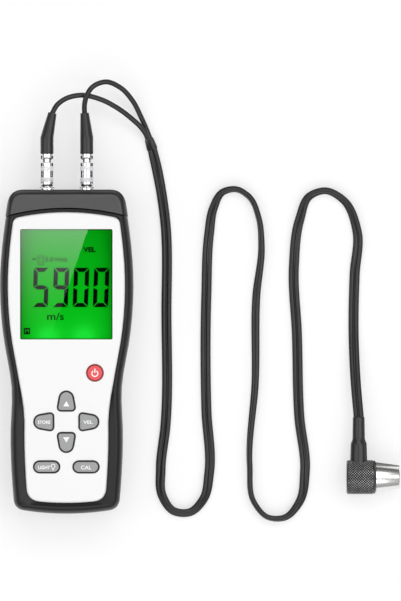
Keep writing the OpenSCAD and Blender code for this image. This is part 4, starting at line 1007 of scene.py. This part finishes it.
knurl, knurl_inputs, given, result = geometry_tree("diamond_knurl", {
    "Around": "Int", "Rows": "Int", "Radius": "Float", "Row step": "Float", "Diamond": "Float",
    "Height": "Float", "Start": "Vector", "Finish": "Material",
})
number = add_node(knurl, "GeometryNodeInputIndex").outputs[0]
row = calc(knurl, "FLOOR", calc(knurl, "DIVIDE", calc(knurl, "ADD", number, 0.5), given["Around"]))
column = calc(knurl, "SUBTRACT", number, calc(knurl, "MULTIPLY", row, given["Around"]))
stagger = calc(knurl, "MULTIPLY", calc(knurl, "MODULO", row, 2.0), 0.5)
share = calc(knurl, "DIVIDE", calc(knurl, "ADD", column, stagger), given["Around"])
turn = calc(knurl, "MULTIPLY", share, 2 * math.pi)
cosine, sine = calc(knurl, "COSINE", turn), calc(knurl, "SINE", turn)
where = add_node(knurl, "ShaderNodeCombineXYZ", {
    "X": calc(knurl, "MULTIPLY", row, given["Row step"]),
    "Y": calc(knurl, "MULTIPLY", cosine, given["Radius"]),
    "Z": calc(knurl, "MULTIPLY", sine, given["Radius"]),
})
spots = add_node(knurl, "GeometryNodePoints", {
    "Count": calc(knurl, "MULTIPLY", given["Around"], given["Rows"]), "Position": where.outputs[0],
})
outwards = add_node(knurl, "ShaderNodeCombineXYZ", {"Y": cosine, "Z": sine})
stud = add_node(knurl, "GeometryNodeMeshCone", {
    "Vertices": 4, "Radius Bottom": given["Diamond"], "Depth": given["Height"],
    "Radius Top": calc(knurl, "MULTIPLY", given["Diamond"], 0.3),
})
face_out = add_node(knurl, "FunctionNodeAlignRotationToVector", {"Vector": outwards.outputs[0]}, axis="Z")
placed = add_node(knurl, "GeometryNodeInstanceOnPoints", {
    "Points": spots.outputs[0], "Instance": stud.outputs["Mesh"], "Rotation": face_out.outputs[0],
})
moved = add_node(knurl, "GeometryNodeTransform", {
    "Geometry": placed.outputs["Instances"], "Translation": given["Start"],
})
pass_on(knurl, moved, given, result)

knurl_around, knurl_step, knurl_margin = 40, 0.0007, 0.0012
knurl_height, knurl_sink = 0.00034, 0.00002
grown("grip_knurl", knurl, knurl_inputs, {
    "Around": knurl_around, "Rows": int((x1 - x0 - 2 * knurl_margin) / knurl_step) + 1,
    "Radius": core - knurl_sink, "Row step": knurl_step, "Diamond": math.pi * core / knurl_around,
    "Height": knurl_height, "Start": (x0 + knurl_margin, axis_y, axis_z), "Finish": knurl_wear_and_glint,
}, "gauge")

nose_steel, tree, shader = new_material("nose_steel")
stretched = add_node(tree, "ShaderNodeMapping", {"Vector": place_in(tree), "Scale": (9000, 30, 30)})
lines = noise(tree, stretched.outputs["Vector"], 1)
bump = add_node(tree, "ShaderNodeBump", {"Height": lines, "Strength": 0.02, "Distance": 0.00001})
feed(tree, shader, {
    "Base Color": seen(236, 236, 234), "Metallic": 1.0, "Roughness": ranged(tree, lines, 0, 1, 0.19, 0.24),
    "Normal": bump.outputs["Normal"],
})
nose_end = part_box("probe_nose")[1].x
nose_bore, spigot_r, spigot_length = 0.00505, 0.0068, 0.004
nose = [
    (nose_bore, x1 - spigot_length), (spigot_r, x1 - spigot_length), (spigot_r, x1), (0.0078, x1),
    (0.0081, x1 + 0.0003), (0.0064, nose_end - 0.0006), (0.0062, nose_end - 0.0002), (0.0059, nose_end),
    (nose_bore, nose_end),
]
shape = turned(nose, "x", (axis_y, axis_z), 128)
piece("nose_shell", *shape, nose_steel, slot="nose_steel", stands_for=["probe_nose"])
delay_clear = moulded("delay_clear", seen(214, 202, 160), 0.25)
cork = moulded("cork", seen(140, 104, 66), 0.8, grain=0.0008, relief=0.00005, mottle=0.25)
crystal_gold = moulded("crystal_gold", seen(206, 180, 96), 0.3, metallic=0.8)
dress("upper_delay_line", delay_clear)
dress("lower_delay_line", delay_clear)
dress("acoustic_barrier", cork)
dress("crystals", crystal_gold)

low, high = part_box("probe_boot")
y0, y1 = low.y, high.y
shoulder_rise = 0.009
shoulder = axis_y + grip_r + shoulder_rise
boot = [
    (0, y0), (0.0046, y0), (0.0046, y0 + 0.002), (0.00445, shoulder - 0.004), (0.00435, shoulder - 0.0006),
    (0.0042, shoulder + 0.0003), (0.0038, shoulder + 0.0012), (0.00345, shoulder + 0.0022),
    (0.00335, shoulder + 0.0034), (0.0032, y1 - 0.0008), (0.0031, y1 - 0.0003), (0.0029, y1), (0, y1),
]
shape = turned(boot, "y", ((low.x + high.x) / 2, (low.z + high.z) / 2), 64, False)
piece("probe_boot_sleeve", *shape, boot_rubber, slot="boot_rubber", stands_for=["probe_boot"])
